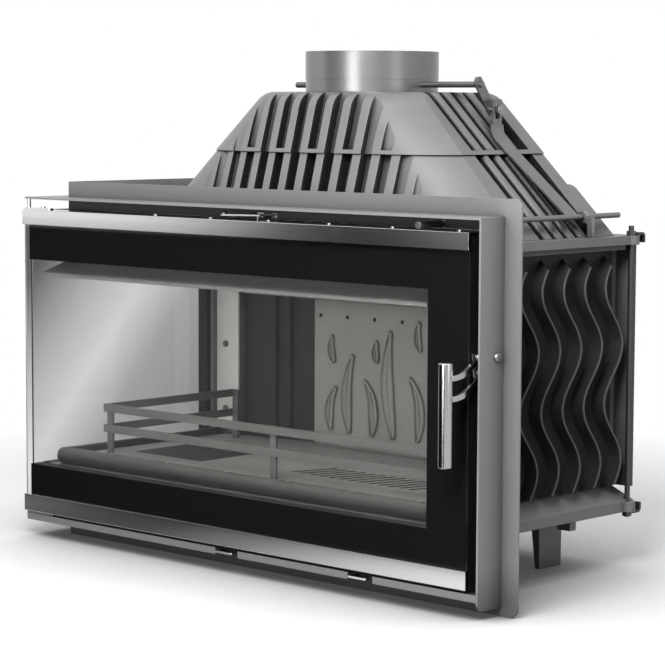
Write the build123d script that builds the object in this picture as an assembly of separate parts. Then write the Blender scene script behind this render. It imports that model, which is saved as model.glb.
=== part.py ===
from build123d import *
import os
from math import atan2, cos, degrees, hypot, pi, radians, sin, tan

# Corner fireplace insert: a cast-iron firebox with a glazed door in front, a fixed pane on its left side,
# a flanged steel surround round both panes, and a ribbed smoke dome with a damper in the flue collar.
# Millimetres. X runs to the right along the door, Y runs into the chimney breast, Z is up.
# While the pieces are drawn, x = 0 is the outer left face of the trims, y = 0 the front of the door trims
# and z = 0 the floor. The last lines move the finished pieces to the middle of their own footprint.

os.makedirs("parts", exist_ok=True)

# ---- driving dimensions ----------------------------------------------------------------------------------
door_width = 900.0
door_bottom = 38.0
door_height = 470.0
border_low = 74.0                # black border of the glass, below, above and at the right
border_high = 77.0
border_right = 73.0
side_length = 380.0              # glazed length of the left side
corner_open = 15.6               # the fixed side starts this far behind the door front
pane_thickness = 4.0
pane_recess = 3.0                # trims stand this far in front of the panes
trim_sheet = 1.5
trim_top_height = 23.0
trim_bottom_height = 26.0
rail_depth = 20.0                # front to back of the steel behind the panes
gasket_diameter = 11.0
gasket_squeeze = 2.7             # how far the rope stands out of its groove
gasket_inset = 14.0              # rope outside the clear window

flange_rise = 43.0               # flange above the door
frame_setback = 52.0             # flange plane behind the door front
frame_side_setback = 49.0        # flange plane inside the left trim
frame_sheet = 3.0
flange_width = 27.1
ledge_gap_top = 16.3             # open recess above the door
ledge_gap_bottom = 3.9
ledge_inset = 3.0                # ledge edges stop this far inside the trims
ledge_lip = 10.0
cheek_gap = 15.6                 # door end to cheek
corner_cut = 8.0                 # cut corners of the flanges

box_left = 28.0                  # left face of the cast front
box_front = 30.0                 # the rope seals on this plane
box_front_depth = 26.0
body_left = 52.3
body_right_inset = 62.0          # right face of the firebox inside the door's right edge
body_rear_reach = 83.0           # firebox behind the end of the side pane
base_lift = 44.0                 # underside of the base above the door's lower edge
base_height = 36.0
base_rim = 15.0                  # upright edge of the base below its sloped ledge
lid_drop = 36.0                  # underside of the lid plate below the door's top
lid_thickness = 13.0
wall_thickness = 7.0
wall_recess = 26.0               # fins stand in a recess this deep
rim_width = 7.0
fin_thickness = 3.2
fin_pitch = 48.5
fin_wave = 21.0                  # sideways swing of a fin
fin_wave_length = 168.0
fin_crest_rise = 210.0           # above the base, where the fins swing furthest to the rear
fin_low_rise = 7.0
fin_high_drop = 29.0             # upper fin ends below the lid plate
fin_count_side = 7
fin_first_side = 115.0
fin_count_rear = 14

dome_height_low = 116.0
dome_height_high = 89.0
dome_margin_left = 31.7          # foot of the dome inside the body at the left, right and rear
dome_margin_right = 18.0
dome_margin_rear = 48.0
dome_front = 127.0
dome_bow = 6.8                   # half-width divided by the bulge of the bowed front
dome_side_lean = 46.26           # degrees from upright
dome_front_lean = 14.9
dome_rear_lean = 1.0
dome_front_radius = 125.0
dome_rear_radius = 46.0
dome_inner_radius = 60.0
dome_crease = 22.0               # round corners run this far past the flat sides and end in a crease
dome_shoulder = 30.0
dome_wall = 8.0
dome_step = 2.0                  # the upper half overhangs the lower one
hump_rise = 72.0                 # low thick rim along the rear of the lower half
hump_thickness = 18.0
hump_reach = 6.0
hump_radius = 25.0
slot_pitch = 33.5
slot_width = 19.0
slot_depth_low = 22.5            # flat slot floors behind the middle of the bowed front
slot_depth_high = 14.5
slot_count_low = 14
slot_count_high = 10
slot_ledge = 6.0
rib_pitch = 26.0
rib_count = 5
rib_middle = 315.0
rib_radius = 8.0

collar_diameter = 200.0
collar_wall = 5.0
collar_height = 60.0
collar_foot = 18.5               # slightly slimmer foot below the pipe seat
collar_step = 0.7
flue_from_rear = 110.0           # flue axis in front of the dome's rear edge

shaft_diameter = 9.0
shaft_rise = 11.0                # shaft axis above the collar's foot
shaft_reach = 216.0              # from the flue axis to the lever end
shaft_stub = 56.0                # from the collar to the far end
blade_thickness = 4.0
blade_clearance = 2.5
lever_length = 45.0
lever_rest_angle = 37.0          # lever leans this far to the rear with the damper shut
lever_width = 17.0
lever_bolt_diameter = 6.0
rod_diameter = 8.0
rod_inset = 26.0                 # pull rod inside the right face of the body
rod_rise = 6.0                   # pull rod above the door's top
rod_front = 12.0
rod_rear_inset = 21.0
link_thickness = 3.0
link_width = 19.0
link_slot = 10.0
link_bar_width = 27.0
link_bend = 30.0
guide_behind = 50.0              # eye bracket behind the flue axis

floor_thickness = 8.0
fireback_thickness = 12.0
fireback_inset = 65.0            # front face of the fireback before the rear of the body
fireback_left = 245.0
fireback_drop = 70.0             # top of the fireback below the top of the clear window
air_hole_spacing = 58.0
baffle_thickness = 7.0
baffle_left = 12.0
baffle_front = 31.0
baffle_ridge = 95.0              # place of the ridge and its underside below the top of the window
baffle_ridge_drop = 8.0
baffle_nose_drop = 27.0
baffle_notch = 91.0              # corner cut off at the left
baffle_seat = 6.0
sill_radius = 12.0
sill_depth = 20.0
stud_first = 154.0
stud_last_inset = 45.5
stud_count = 6
guard_flat = 4.0
guard_bar = 12.0
guard_top_rise = 80.0            # top edges of both rails above the hearth floor
guard_middle_rise = 48.0
guard_front = 90.0
guard_left = 104.0
guard_post_x = 460.0
guard_right_inset = 58.0
guard_rear_inset = 18.0
guard_foot_radius = 3.0
hatch_front = 142.0
hatch_width = 120.0
grate_left = 410.0
grate_length = 285.0
grate_slot_count = 13
cover_left = 98.0
cover_length = 155.0
pan_height = 26.0
pan_wall = 2.0

handle_diameter = 19.0
handle_length = 137.0
handle_standoff = 35.0           # tube axis in front of the trims
handle_rise = 303.0              # upper end of the tube above the door's lower edge
handle_lift = 30.0               # degrees
arm_thickness = 5.0
arm_height = 7.0
arm_drop_high = 19.5             # arms below the upper end of the tube
arm_drop_low = 46.5
pivot_y = 16.0
pivot_rise = 307.0
pivot_radius = 4.0
guide_bolt_y = 19.0
guide_bolt_drop = 21.0
bolt_head_radius = 5.0
bolt_head_height = 3.2

slide_width = 34.0
slide_front = 0.5
slide_notch = 26.0               # the ledge is cut back this far over the tab
slide_travel = 10.0
slide_left_x = 427.0
slide_right_x = 688.0
shutter_reach = 22.0             # shutter to the left of its tab
shutter_length = 99.0
port_pitch = 24.0
port_width = 9.0
lever_x = 476.0
lever_y = 40.0
lever_swing = 15.0               # degrees each way
lever_reach = 57.0
lever_tail = 30.0
wash_pitch = 28.0

foot_outer_inset = 83.0          # outer faces of the feet inside the right face of the body
foot_outer_left = 47.7
foot_depth = 53.0
foot_width_top = 17.0
foot_width_sole = 8.0
foot_flare = 1.5
foot_flange = 22.0
foot_front_y = 120.0
foot_rear_inset = 98.5
tie_rod_diameter = 8.0
hinge_pin_radius = 3.0
boss_radius = 12.0
boss_inset_x = 6.0
boss_inset_y = 17.0
cheek_screw_y = 37.0
cheek_head_radius = 6.0
cheek_head_height = 4.5

fit = 0.05                       # radial running fit
gap = 0.3                        # smallest gap between pieces that move apart
glide = 1.0                      # loose sliding clearance

# ---- derived places --------------------------------------------------------------------------------------
door_top = door_bottom + door_height
window_low = door_bottom + border_low
window_high = door_top - border_high
window_right = door_width - border_right
frame_height = door_top + flange_rise
body_right = door_width - body_right_inset
body_rear = side_length + body_rear_reach
base_bottom = door_bottom + base_lift
lid_bottom = door_top - lid_drop
ledge_under = door_top + ledge_gap_top
ledge_top = ledge_under + frame_sheet
sill_ledge = door_bottom - ledge_gap_bottom
sill_ledge_under = sill_ledge - frame_sheet
lip_low = sill_ledge - ledge_lip
pane_back = pane_recess + pane_thickness
rail_back = pane_back + rail_depth
rail_low = door_bottom + trim_sheet
rail_high = door_top - trim_sheet
cheek_x = door_width + cheek_gap
cheek_face = cheek_x + frame_sheet
cheek_y = side_length + cheek_gap + 5.4
cheek_rear = cheek_y + frame_sheet
flange_right = cheek_face + flange_width
flange_rear = cheek_rear + flange_width
box_back = box_front + box_front_depth
base_front = box_back + 2.6
base_top = base_bottom + base_height
floor_top = base_top + floor_thickness
lid_top = lid_bottom + lid_thickness
fin_crest = base_top + fin_crest_rise
fin_low = base_top + fin_low_rise
fin_high = lid_bottom - fin_high_drop
dome_left = body_left + dome_margin_left
dome_right = body_right - dome_margin_right
dome_half_width = (dome_right - dome_left) / 2
dome_rear = body_rear - dome_margin_rear
flue_x = (dome_left + dome_right) / 2
flue_y = dome_rear - flue_from_rear
parting = lid_top + dome_height_low
dome_top = parting + dome_height_high
shaft_z = dome_top + shaft_rise
side_lean = tan(radians(dome_side_lean))
front_lean = tan(radians(dome_front_lean))
rear_lean = tan(radians(dome_rear_lean))
pocket_depth = rib_pitch / 2 / cos(radians(dome_side_lean))
side_wall = dome_wall / cos(radians(dome_side_lean))
rod_x = body_right - rod_inset
rod_height = door_top + rod_rise
rod_rear = body_rear - rod_rear_inset
fireback_front = body_rear - fireback_inset
fireback_height = window_high - fireback_drop - floor_top
guard_top = floor_top + guard_top_rise
guard_middle = floor_top + guard_middle_rise
guard_right = body_right - guard_right_inset
guard_rear = side_length - guard_rear_inset
handle_top = door_bottom + handle_rise
pivot_z = door_bottom + pivot_rise
guide_bolt_z = pivot_z - guide_bolt_drop
guide_y = flue_y + guide_behind
wall_face = body_right - wall_recess
wall_inside = wall_face - wall_thickness
rear_face = body_rear - wall_recess
rear_inside = rear_face - wall_thickness
corner_wall_y = side_length + 10
corner_wall_x = body_left + 32
hinge_x = corner_open / 2 - gap
hinge_y = hinge_x
blade_radius = collar_diameter / 2 - collar_wall - blade_clearance
crank_x = flue_x + shaft_reach - 8
link_x = crank_x + link_thickness + 8
pin_y = flue_y + lever_length * sin(radians(lever_rest_angle))
pin_z = shaft_z - lever_length * cos(radians(lever_rest_angle))
slide_low = sill_ledge_under - 4
handle_x = door_width + gap + arm_thickness / 2 - handle_diameter / 2
wash_z = rod_height
boss_y = body_rear - boss_inset_y
corner_bosses = [(body_right - boss_inset_x, boss_y), (body_left + boss_inset_x, boss_y)]


# ---- helpers ---------------------------------------------------------------------------------------------
def block(x0, x1, y0, y1, z0, z1):
    """A box between two corners."""
    return Pos((x0 + x1) / 2, (y0 + y1) / 2, (z0 + z1) / 2) * Box(x1 - x0, y1 - y0, z1 - z0)


def rod_along(axis, x, y, z, radius, length):
    """A round bar that starts at a point and runs along +X, +Y or +Z."""
    turn = {"x": Rot(0, 90, 0), "y": Rot(-90, 0, 0), "z": Rot(0, 0, 0)}[axis]
    bar = Cylinder(radius, length, align=(Align.CENTER, Align.CENTER, Align.MIN))
    return Pos(x, y, z) * turn * bar


def prism_x(points, x0, x1):
    """A polygon given as (y, z) pairs, carried from x0 to x1."""
    face = make_face(Polyline(*[(x0, y, z) for y, z in points], close=True))
    return extrude(face, amount=x1 - x0, dir=(1, 0, 0))


def prism_y(points, y0, y1):
    """A polygon given as (x, z) pairs, carried from y0 to y1."""
    face = make_face(Polyline(*[(x, y0, z) for x, z in points], close=True))
    return extrude(face, amount=y1 - y0, dir=(0, 1, 0))


def prism_z(points, z0, z1):
    """A polygon given as (x, y) pairs, carried from z0 to z1."""
    face = make_face(Polyline(*[(x, y, z0) for x, y in points], close=True))
    return extrude(face, amount=z1 - z0, dir=(0, 0, 1))


def one(shape):
    """The single solid of a finished piece."""
    solids = shape.solids()
    return solids[0] if len(solids) == 1 else Compound(children=list(solids))


def group(pieces):
    """Identical pieces kept as separate solids of one node."""
    return Compound(children=[solid for piece in pieces for solid in piece.solids()])


def hex_bolt_z(x, y, z, across, height):
    """A hexagon head or nut standing on a level face."""
    prism = extrude(RegularPolygon(across / 2, 6, major_radius=False), amount=height)
    return Pos(x, y, z) * prism


# ---- surround --------------------------------------------------------------------------------------------
def ledge_plan(z0, z1):
    """L-shaped plate in front of both flanges, from the right cheek to the rear cheek."""
    inner_y = frame_setback + frame_sheet
    inner_x = frame_side_setback + frame_sheet
    edge = ledge_inset
    points = [(edge, edge), (cheek_x, edge), (cheek_x, inner_y), (inner_x, inner_y), (inner_x, cheek_y), (edge, cheek_y)]
    return prism_z(points, z0, z1)


def flange_outline(start, end, z0, z1, cut_low, cut_high):
    """Upright strip whose far end has cut corners, as (along, z) pairs."""
    points = [(start, z0), (end - cut_low, z0), (end, z0 + cut_low)]
    points += [(end, z1 - cut_high), (end - cut_high, z1), (start, z1)]
    return list(dict.fromkeys(points))


def front_strip(start, z0, z1, cut_low, cut_high):
    """Flange strip along the front."""
    points = flange_outline(start, flange_right, z0, z1, cut_low, cut_high)
    return prism_y(points, frame_setback, frame_setback + frame_sheet)


def side_strip(start, z0, z1, cut_low, cut_high):
    """Flange strip along the left side."""
    points = flange_outline(start, flange_rear, z0, z1, cut_low, cut_high)
    return prism_x(points, frame_side_setback, frame_side_setback + frame_sheet)


def frame_top():
    """Top angle of the surround: thin ledge over the recess and the flange behind it."""
    low = door_top + 0.5
    angle = ledge_plan(ledge_under, ledge_top)
    angle += front_strip(frame_side_setback, ledge_top, frame_height, 0, corner_cut)
    angle += side_strip(frame_setback, ledge_top, frame_height, 0, corner_cut)
    angle += block(frame_side_setback, cheek_x, frame_setback, frame_setback + frame_sheet, low, ledge_under)
    angle += block(frame_side_setback, frame_side_setback + frame_sheet, frame_setback, cheek_y, low, ledge_under)
    angle -= rod_along("z", hinge_x, hinge_y, ledge_under - 1, hinge_pin_radius + fit, frame_sheet + 2)
    angle -= rod_along("y", rod_x, frame_setback - 1, rod_height, rod_diameter / 2 + glide, frame_sheet + 2)
    angle -= block(lever_x - 22, lever_x + 26, frame_setback - 1, frame_setback + frame_sheet + 1, wash_z - 3.5, wash_z + 3.5)
    return one(angle)


def frame_bottom():
    """Bottom angle: ledge with a turned-down lip that is notched for the air slides, and the flange."""
    edge = ledge_inset
    angle = ledge_plan(sill_ledge_under, sill_ledge)
    angle += block(edge, cheek_x, edge, edge + frame_sheet, lip_low, sill_ledge_under)
    angle += block(edge, edge + frame_sheet, edge, cheek_y, lip_low, sill_ledge_under)
    angle += block(frame_side_setback, cheek_x, frame_setback, frame_setback + frame_sheet, 0, sill_ledge_under)
    angle += block(frame_side_setback, frame_side_setback + frame_sheet, frame_setback, cheek_y, 0, sill_ledge_under)
    for start in (slide_left_x, slide_right_x):
        notch_start = start - glide
        notch_end = start + slide_width + slide_travel + glide
        angle -= block(notch_start, notch_end, 0, slide_notch, lip_low - 1, sill_ledge + 1)
        angle -= block(notch_start, notch_end, frame_setback - 1, frame_setback + frame_sheet + 1,
                       slide_low - glide, sill_ledge_under - gap)
    angle -= rod_along("z", hinge_x, hinge_y, sill_ledge_under - 1, hinge_pin_radius + fit, frame_sheet + 2)
    return one(angle)


def cheek_profile(depth):
    """Side view of a cheek: an upright plate with a rounded-off foot, as (depth, z) pairs."""
    low = lip_low - 12
    edge = ledge_inset
    return [(edge, low + 8), (edge + 3, low + 2), (edge + 9, low), (depth, low), (depth, ledge_top), (edge, ledge_top)]


def frame_right_leg():
    """Right-hand upright: flange strip and the cheek that stands forward beside the door."""
    points = flange_outline(cheek_x, flange_right, 0, ledge_top, corner_cut, 0)
    leg = prism_y(points, frame_setback, frame_setback + frame_sheet)
    leg += prism_x(cheek_profile(frame_setback), cheek_x, cheek_face)
    leg -= rod_along("x", cheek_x - 1, cheek_screw_y, pivot_z, screw_radius, frame_sheet + 2)
    return one(leg)


def frame_rear_leg():
    """Rear upright of the left side, the twin of the right-hand one."""
    points = flange_outline(cheek_y, flange_rear, 0, ledge_top, corner_cut, 0)
    leg = prism_x(points, frame_side_setback, frame_side_setback + frame_sheet)
    leg += prism_y(cheek_profile(frame_side_setback), cheek_y, cheek_rear)
    return one(leg)


# ---- panes and trims -------------------------------------------------------------------------------------
screw_radius = 2.5
screw_y = 21.0
screw_spacing = 117.2
screw_inset = 32.0
screw_places = [door_width - screw_inset - screw_spacing * k for k in range(6)]


def door_glass():
    """Glass sheet of the door, from edge to edge."""
    sheet = block(1.5, door_width - 0.8, pane_recess, pane_back, rail_low, rail_high)
    return one(chamfer(sheet.edges().filter_by(Axis.Z), 0.7))


def side_glass():
    """Fixed glass sheet of the left side."""
    sheet = block(pane_recess, pane_back, corner_open, side_length - 1.5, rail_low, rail_high)
    return one(chamfer(sheet.edges().filter_by(Axis.Z), 0.7))


def return_plan(side):
    """Plan of the fold over a rail, mitred where door and side meet."""
    if side:
        return [(0, corner_open), (corner_open - 0.5, corner_open), (rail_back, rail_back + 0.5),
                (rail_back, side_length), (0, side_length)]
    return [(0, 0), (door_width, 0), (door_width, rail_back), (rail_back + 3, rail_back), (hinge_x + 2, hinge_x - 1), (0, hinge_x - 1)]


def trim(side, low, height, top):
    """Folded stainless strip: a face in front of the pane and a return over or under the rail."""
    if side:
        face = block(0, pane_recess, corner_open, side_length, low, low + height)
    else:
        face = block(0, door_width, 0, pane_recess, low, low + height)
    edge = low + height if top else low
    fold_low = edge - trim_sheet if top else edge
    strip = face + prism_z(return_plan(side), fold_low, fold_low + trim_sheet)
    if side:
        nose = [e for e in strip.edges().filter_by(Axis.Y) if abs(e.center().X) < 0.01 and abs(e.center().Z - edge) < 0.01]
    else:
        nose = [e for e in strip.edges().filter_by(Axis.X) if abs(e.center().Y) < 0.01 and abs(e.center().Z - edge) < 0.01]
    strip = fillet(nose, 1.2)
    if top and not side:
        for x in screw_places:
            strip -= rod_along("z", x, screw_y, fold_low - 1, screw_radius, trim_sheet + 2)
    return one(strip)


# ---- door ------------------------------------------------------------------------------------------------
def rope(radius, start):
    """Round rope swept along the bottom, up the right-hand side and back along the top."""
    y = rail_back + gasket_squeeze - gasket_diameter / 2
    low = window_low - gasket_inset
    high = window_high + gasket_inset
    right = window_right + gasket_inset
    bend = 14.0
    swing = bend * (1 - cos(radians(45)))
    path = Wire([
        Edge.make_line((start, y, low), (right - bend, y, low)),
        Edge.make_three_point_arc((right - bend, y, low), (right - swing, y, low + swing), (right, y, low + bend)),
        Edge.make_line((right, y, low + bend), (right, y, high - bend)),
        Edge.make_three_point_arc((right, y, high - bend), (right - swing, y, high - swing), (right - bend, y, high)),
        Edge.make_line((right - bend, y, high), (start, y, high)),
    ])
    profile = Plane(origin=(start, y, low), z_dir=(1, 0, 0)) * Circle(radius)
    return sweep(profile, path=path)


def door_frame():
    """Steel frame behind the door glass, open at the glazed corner, with a groove for the rope seal."""
    left = hinge_x + 3
    frame = block(left, door_width - 2, pane_back, rail_back, rail_low, rail_high)
    frame -= block(left - 1, window_right, pane_back - 1, rail_back + 1, window_low, window_high)
    frame -= rope(gasket_diameter / 2 + fit, box_left + 1)
    for x in screw_places:
        frame -= rod_along("z", x, screw_y, rail_high - 12, screw_radius, 14)
    for y, z in ((pivot_y, pivot_z), (guide_bolt_y, guide_bolt_z)):
        frame -= rod_along("x", door_width - 20, y, z, pivot_radius, 22)
    return one(frame)


def door_gasket():
    """Rope seal pressed into the groove of the door frame."""
    return one(rope(gasket_diameter / 2, box_left + 2))


def door_screws():
    """Pan-head screws that hold the top trim down on the rail."""
    screws = []
    for x in screw_places:
        shank = rod_along("z", x, screw_y, door_top - 11, screw_radius - 0.02, 11)
        head = rod_along("z", x, screw_y, door_top, 4.2, 2.2)
        head = fillet(head.edges().sort_by(Axis.Z)[-1], 1.5)
        screws.append(shank + head)
    return group(screws)


def hinge(top):
    """Strap on the rail with a pin that turns in the ledge; drawn for the top or the bottom."""
    if top:
        z0 = door_top
        z1 = door_top + 3
        pin = rod_along("z", hinge_x, hinge_y, z0, hinge_pin_radius, ledge_top - z0 - 0.4)
    else:
        z0 = sill_ledge + gap
        z1 = door_bottom
        pin = rod_along("z", hinge_x, hinge_y, sill_ledge_under + 0.2, hinge_pin_radius, z1 - sill_ledge_under - 0.2)
    strap = block(2, 62, 2, 12, z0, z1)
    strap = fillet(strap.edges().filter_by(Axis.Z), 3.2)
    if top:
        strap += rod_along("z", 42, 7, z1, 3.6, 2.6)
    return strap + pin


def door_hinges():
    """Upper and lower pivots of the door."""
    return group([hinge(True), hinge(False)])


def turned_arc(radius, centre_angle, width, sweep_angle):
    """Slot bent round the pivot, as a face in the (y, z) plane at x = 0."""
    points = []
    steps = 6
    for side, order in ((1, range(steps + 1)), (-1, range(steps, -1, -1))):
        for k in order:
            a = radians(centre_angle + sweep_angle * (k / steps))
            r = radius + side * width / 2
            points.append((pivot_y + r * cos(a), pivot_z + r * sin(a)))
    return points


def handle_arm(tube_z, end_y, end_z):
    """Flat cranked arm beside the door, rising from the tube to the handle plate."""
    x0 = door_width + gap
    y0 = -handle_standoff
    half = arm_height / 2
    low = [(y0, tube_z - half), (y0 + 14, tube_z - half + 1), (y0 + 26, tube_z - half + 4), (end_y, end_z - half)]
    high = [(y0, tube_z + half), (y0 + 11, tube_z + half + 1), (y0 + 23, tube_z + half + 4), (end_y, end_z + half)]
    face = make_face([Spline(*[(x0, y, z) for y, z in low]), Line((x0, *low[-1]), (x0, *high[-1])),
                      Spline(*[(x0, y, z) for y, z in reversed(high)]), Line((x0, *high[0]), (x0, *low[0]))])
    return extrude(face, amount=arm_thickness, dir=(1, 0, 0))


def door_handle():
    """Upright polished tube on two flat arms that join in a plate swinging on the shoulder bolt."""
    tube = rod_along("z", handle_x, -handle_standoff, handle_top - handle_length, handle_diameter / 2, handle_length)
    tube = chamfer(tube.edges().filter_by(GeomType.CIRCLE), 1.2)
    x0 = door_width + gap
    handle = tube + handle_arm(handle_top - arm_drop_high, pivot_y, pivot_z)
    handle += handle_arm(handle_top - arm_drop_low, guide_bolt_y, guide_bolt_z)
    plate = prism_x([(pivot_y - 5, guide_bolt_z - 5), (pivot_y + 7, guide_bolt_z - 8), (pivot_y + 13, guide_bolt_z - 2),
                     (pivot_y + 12, pivot_z - 9), (pivot_y + 8, pivot_z + 6), (pivot_y, pivot_z + 9), (pivot_y - 7, pivot_z + 5)],
                    x0, x0 + arm_thickness)
    handle += plate
    reach = hypot(guide_bolt_y - pivot_y, guide_bolt_z - pivot_z)
    bearing = degrees(atan2(guide_bolt_z - pivot_z, guide_bolt_y - pivot_y))
    arc = turned_arc(reach, bearing, 2 * pivot_radius - 1.4, handle_lift + 2)
    handle -= prism_x(arc, x0 - 1, x0 + arm_thickness + 1)
    for turn in (0, handle_lift + 2):
        a = radians(bearing + turn)
        handle -= rod_along("x", x0 - 1, pivot_y + reach * cos(a), pivot_z + reach * sin(a), pivot_radius - 0.7, arm_thickness + 2)
    handle -= rod_along("x", x0 - 1, pivot_y, pivot_z, pivot_radius + fit, arm_thickness + 2)
    return one(handle)


def handle_bolts():
    """Shoulder bolt on which the handle swings and the guide bolt below it."""
    bolts = []
    for y, z, radius in ((pivot_y, pivot_z, pivot_radius), (guide_bolt_y, guide_bolt_z, pivot_radius - 1.2)):
        bolt = rod_along("x", door_width - 20, y, z, pivot_radius - 0.02, 18)
        bolt += rod_along("x", door_width - 2, y, z, radius, 2 + gap + arm_thickness + gap)
        head = rod_along("x", door_width + 2 * gap + arm_thickness, y, z, bolt_head_radius, bolt_head_height)
        bolt += fillet(head.edges().sort_by(Axis.X)[-1], 2.2)
        bolts.append(bolt)
    return group(bolts)


def cheek_screw():
    """Screw that fixes the right-hand upright to the cast front."""
    shank = rod_along("x", cheek_x - 8, cheek_screw_y, pivot_z, screw_radius - 0.02, frame_sheet + 8)
    head = rod_along("x", cheek_face, cheek_screw_y, pivot_z, cheek_head_radius, cheek_head_height)
    head = fillet(head.edges().sort_by(Axis.X)[-1], 3.0)
    nut = rod_along("x", cheek_x - 5, cheek_screw_y, pivot_z, 4.6, 5)
    return one(shank + head + nut)


# ---- firebox ---------------------------------------------------------------------------------------------
def side_frame():
    """Fixed steel frame behind the left pane: two rails and a slim rear stile."""
    frame = block(pane_back, rail_back, box_front + 4, side_length - 2, rail_low, window_low)
    frame += block(pane_back, rail_back, box_front + 4, side_length - 2, window_high, rail_high)
    frame += block(pane_back, rail_back, side_length - 10, side_length - 2, window_low, window_high)
    return one(frame)


def front_casting():
    """Cast front that the door closes against: sill and header run on along the left side, pillar at the right."""
    pillar_right = door_width - 3
    low = sill_ledge + 1
    rear = side_length + 20
    plan = [(box_left, box_front), (pillar_right, box_front), (pillar_right, box_back - 6), (cheek_x, box_back - 6),
            (cheek_x, box_back), (body_left - gap, box_back), (body_left - gap, rear), (box_left, rear)]
    frame = prism_z(plan, low, window_low)
    frame += prism_z(plan, window_high + 6, door_top)
    pillar = [(window_right + 6, box_front), (pillar_right, box_front), (pillar_right, box_back - 6), (cheek_x, box_back - 6),
              (cheek_x, box_back), (window_right + 6, box_back)]
    frame += prism_z(pillar, low, door_top)
    frame -= block(cheek_x, cheek_x + 1, 0, box_back, low, door_top)
    frame -= rod_along("z", lever_x, lever_y, door_top - 12, lever_pin_radius + fit, 14)
    frame -= block(frame_side_setback - gap, cheek_x + 1, frame_setback - gap, box_back + 1, 0, sill_ledge + gap)
    for x in sill_stud_places:
        frame -= rod_along("z", x, box_front + 18, window_low - 10, 2.5, 11)
    return one(frame)


def base_casting():
    """Shallow cast tray that carries floor and walls and holds the ash pan."""
    outer = block(body_left, body_right - 4, base_front, body_rear - 4, base_bottom, base_top)
    slope = [(body_right - 3, base_bottom + base_rim), (body_right - 3, base_top + 1), (wall_face - 1, base_top + 1)]
    tray = outer - prism_y(slope, base_front - 1, body_rear)
    slope = [(body_rear - 3, base_bottom + base_rim), (body_rear - 3, base_top + 1), (rear_face - 1, base_top + 1)]
    tray -= prism_x(slope, body_left, body_right)
    tray -= block(body_left + 12, wall_inside - 4, base_front + 10, rear_inside - 4, base_bottom + 6, base_top + 1)
    for x0, x1 in ((body_left, slide_left_x - 37), (slide_right_x + 102, body_right - 6)):
        tray += block(x0, x1, box_back, base_front, base_bottom + 2, base_top - 2)
    for start in (slide_left_x, slide_right_x):
        for k in range(4):
            x = start - 9 + port_pitch * k
            tray -= block(x, x + port_width, base_front - 1, base_front + 11, base_bottom + 12, base_bottom + 26)
    for x, y in corner_bosses:
        tray += rod_along("z", x, y, base_bottom, boss_radius, base_rim)
        tray -= rod_along("z", x, y, base_bottom - 1, tie_rod_diameter / 2, base_height + 2)
    lug_x = body_right - foot_outer_inset + foot_flange + 7
    lug_y = body_rear - foot_rear_inset - 21.5
    tray += block(lug_x, lug_x + 23, lug_y, lug_y + 14, base_bottom - 20, base_bottom + 1)
    return one(tray)


def swing(z):
    """Sideways place of a fin at a height."""
    return fin_wave * cos(2 * pi * (z - fin_crest) / fin_wave_length)


def fin(along, x0, x1):
    """One wavy fin between two planes, following the swing from bottom to top."""
    low = fin_low - 7
    high = fin_high + 16
    steps = 16
    heights = [low + (high - low) * k / steps for k in range(steps + 1)]
    half = fin_thickness / 2
    left = [(x0, along + swing(z) - half, z) for z in heights]
    right = [(x0, along + swing(z) + half, z) for z in reversed(heights)]
    face = make_face([Spline(*left), Line(left[-1], right[0]), Spline(*right), Line(right[-1], left[0])])
    return extrude(face, amount=x1 - x0, dir=(1, 0, 0))


def finned_wall(first, last, rim_last, face, rows, first_row):
    """Wall in the YZ plane with its outer face at x = face: plate, edge rims and fins that end in slopes."""
    outer = face + wall_recess - 4
    high = lid_bottom
    wall = block(face - wall_thickness, face, first, last, base_top, high)
    wall += block(face, outer, first, last - (0 if rim_last else rim_width + gap), high - rim_width, high)
    wall += block(face, outer, first, first + rim_width, base_top, high - rim_width)
    if rim_last:
        wall += block(face, outer, last - rim_width, last, base_top, high - rim_width)
    slope = [(face - 3, fin_low - 6), (outer, fin_low), (outer, fin_high), (face - 3, fin_high + 15)]
    envelope = prism_y(slope, first, last - (0 if rim_last else rim_width + gap))
    for k in range(rows):
        wall += fin(first_row + fin_pitch * k, face - 2, outer) & envelope
    return one(wall)


def right_wall():
    """Right side of the firebox."""
    return finned_wall(box_back + gap, rear_face, False, wall_face, fin_count_side, fin_first_side)


def rear_wall():
    """Rear of the firebox, finned like the right side."""
    turned = finned_wall(-wall_inside, -corner_wall_x, True, rear_face, fin_count_rear, -wall_inside + 46)
    wall = Rot(0, 0, 90) * turned
    wall += block(wall_inside - rim_width, body_right - 6, body_rear - 12, body_rear - 4, base_top, lid_bottom)
    return one(wall)


plate_screw_x = 54.0
plate_screw_low = window_low + 56
plate_screw_high = window_high - 47
plate_screw_heights = [plate_screw_low, (plate_screw_low + plate_screw_high) / 2, plate_screw_high]


def left_post():
    """Cast angle that closes the corner behind the side pane."""
    post = block(box_left, box_left + 5, side_length - 2, corner_wall_y, window_low, window_high + 6)
    post += block(box_left, body_left - gap, corner_wall_y, corner_wall_y + 10, window_low, window_high + 6)
    post += block(body_left - gap, corner_wall_x, corner_wall_y, corner_wall_y + 10, base_top, lid_bottom)
    post += block(corner_wall_x - 10, corner_wall_x, corner_wall_y + 10, rear_face, base_top, lid_bottom)
    for z in plate_screw_heights:
        post -= rod_along("y", plate_screw_x, corner_wall_y - 1, z, screw_radius, 12)
    return one(post)


def side_plate():
    """Bright steel strip screwed to the corner angle inside the firebox."""
    plate = block(box_left + 5, 83, corner_wall_y - 2, corner_wall_y, floor_top + 12, window_high + 6)
    for z in plate_screw_heights:
        plate -= rod_along("y", plate_screw_x, corner_wall_y - 3, z, screw_radius, 4)
    return one(plate)


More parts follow.
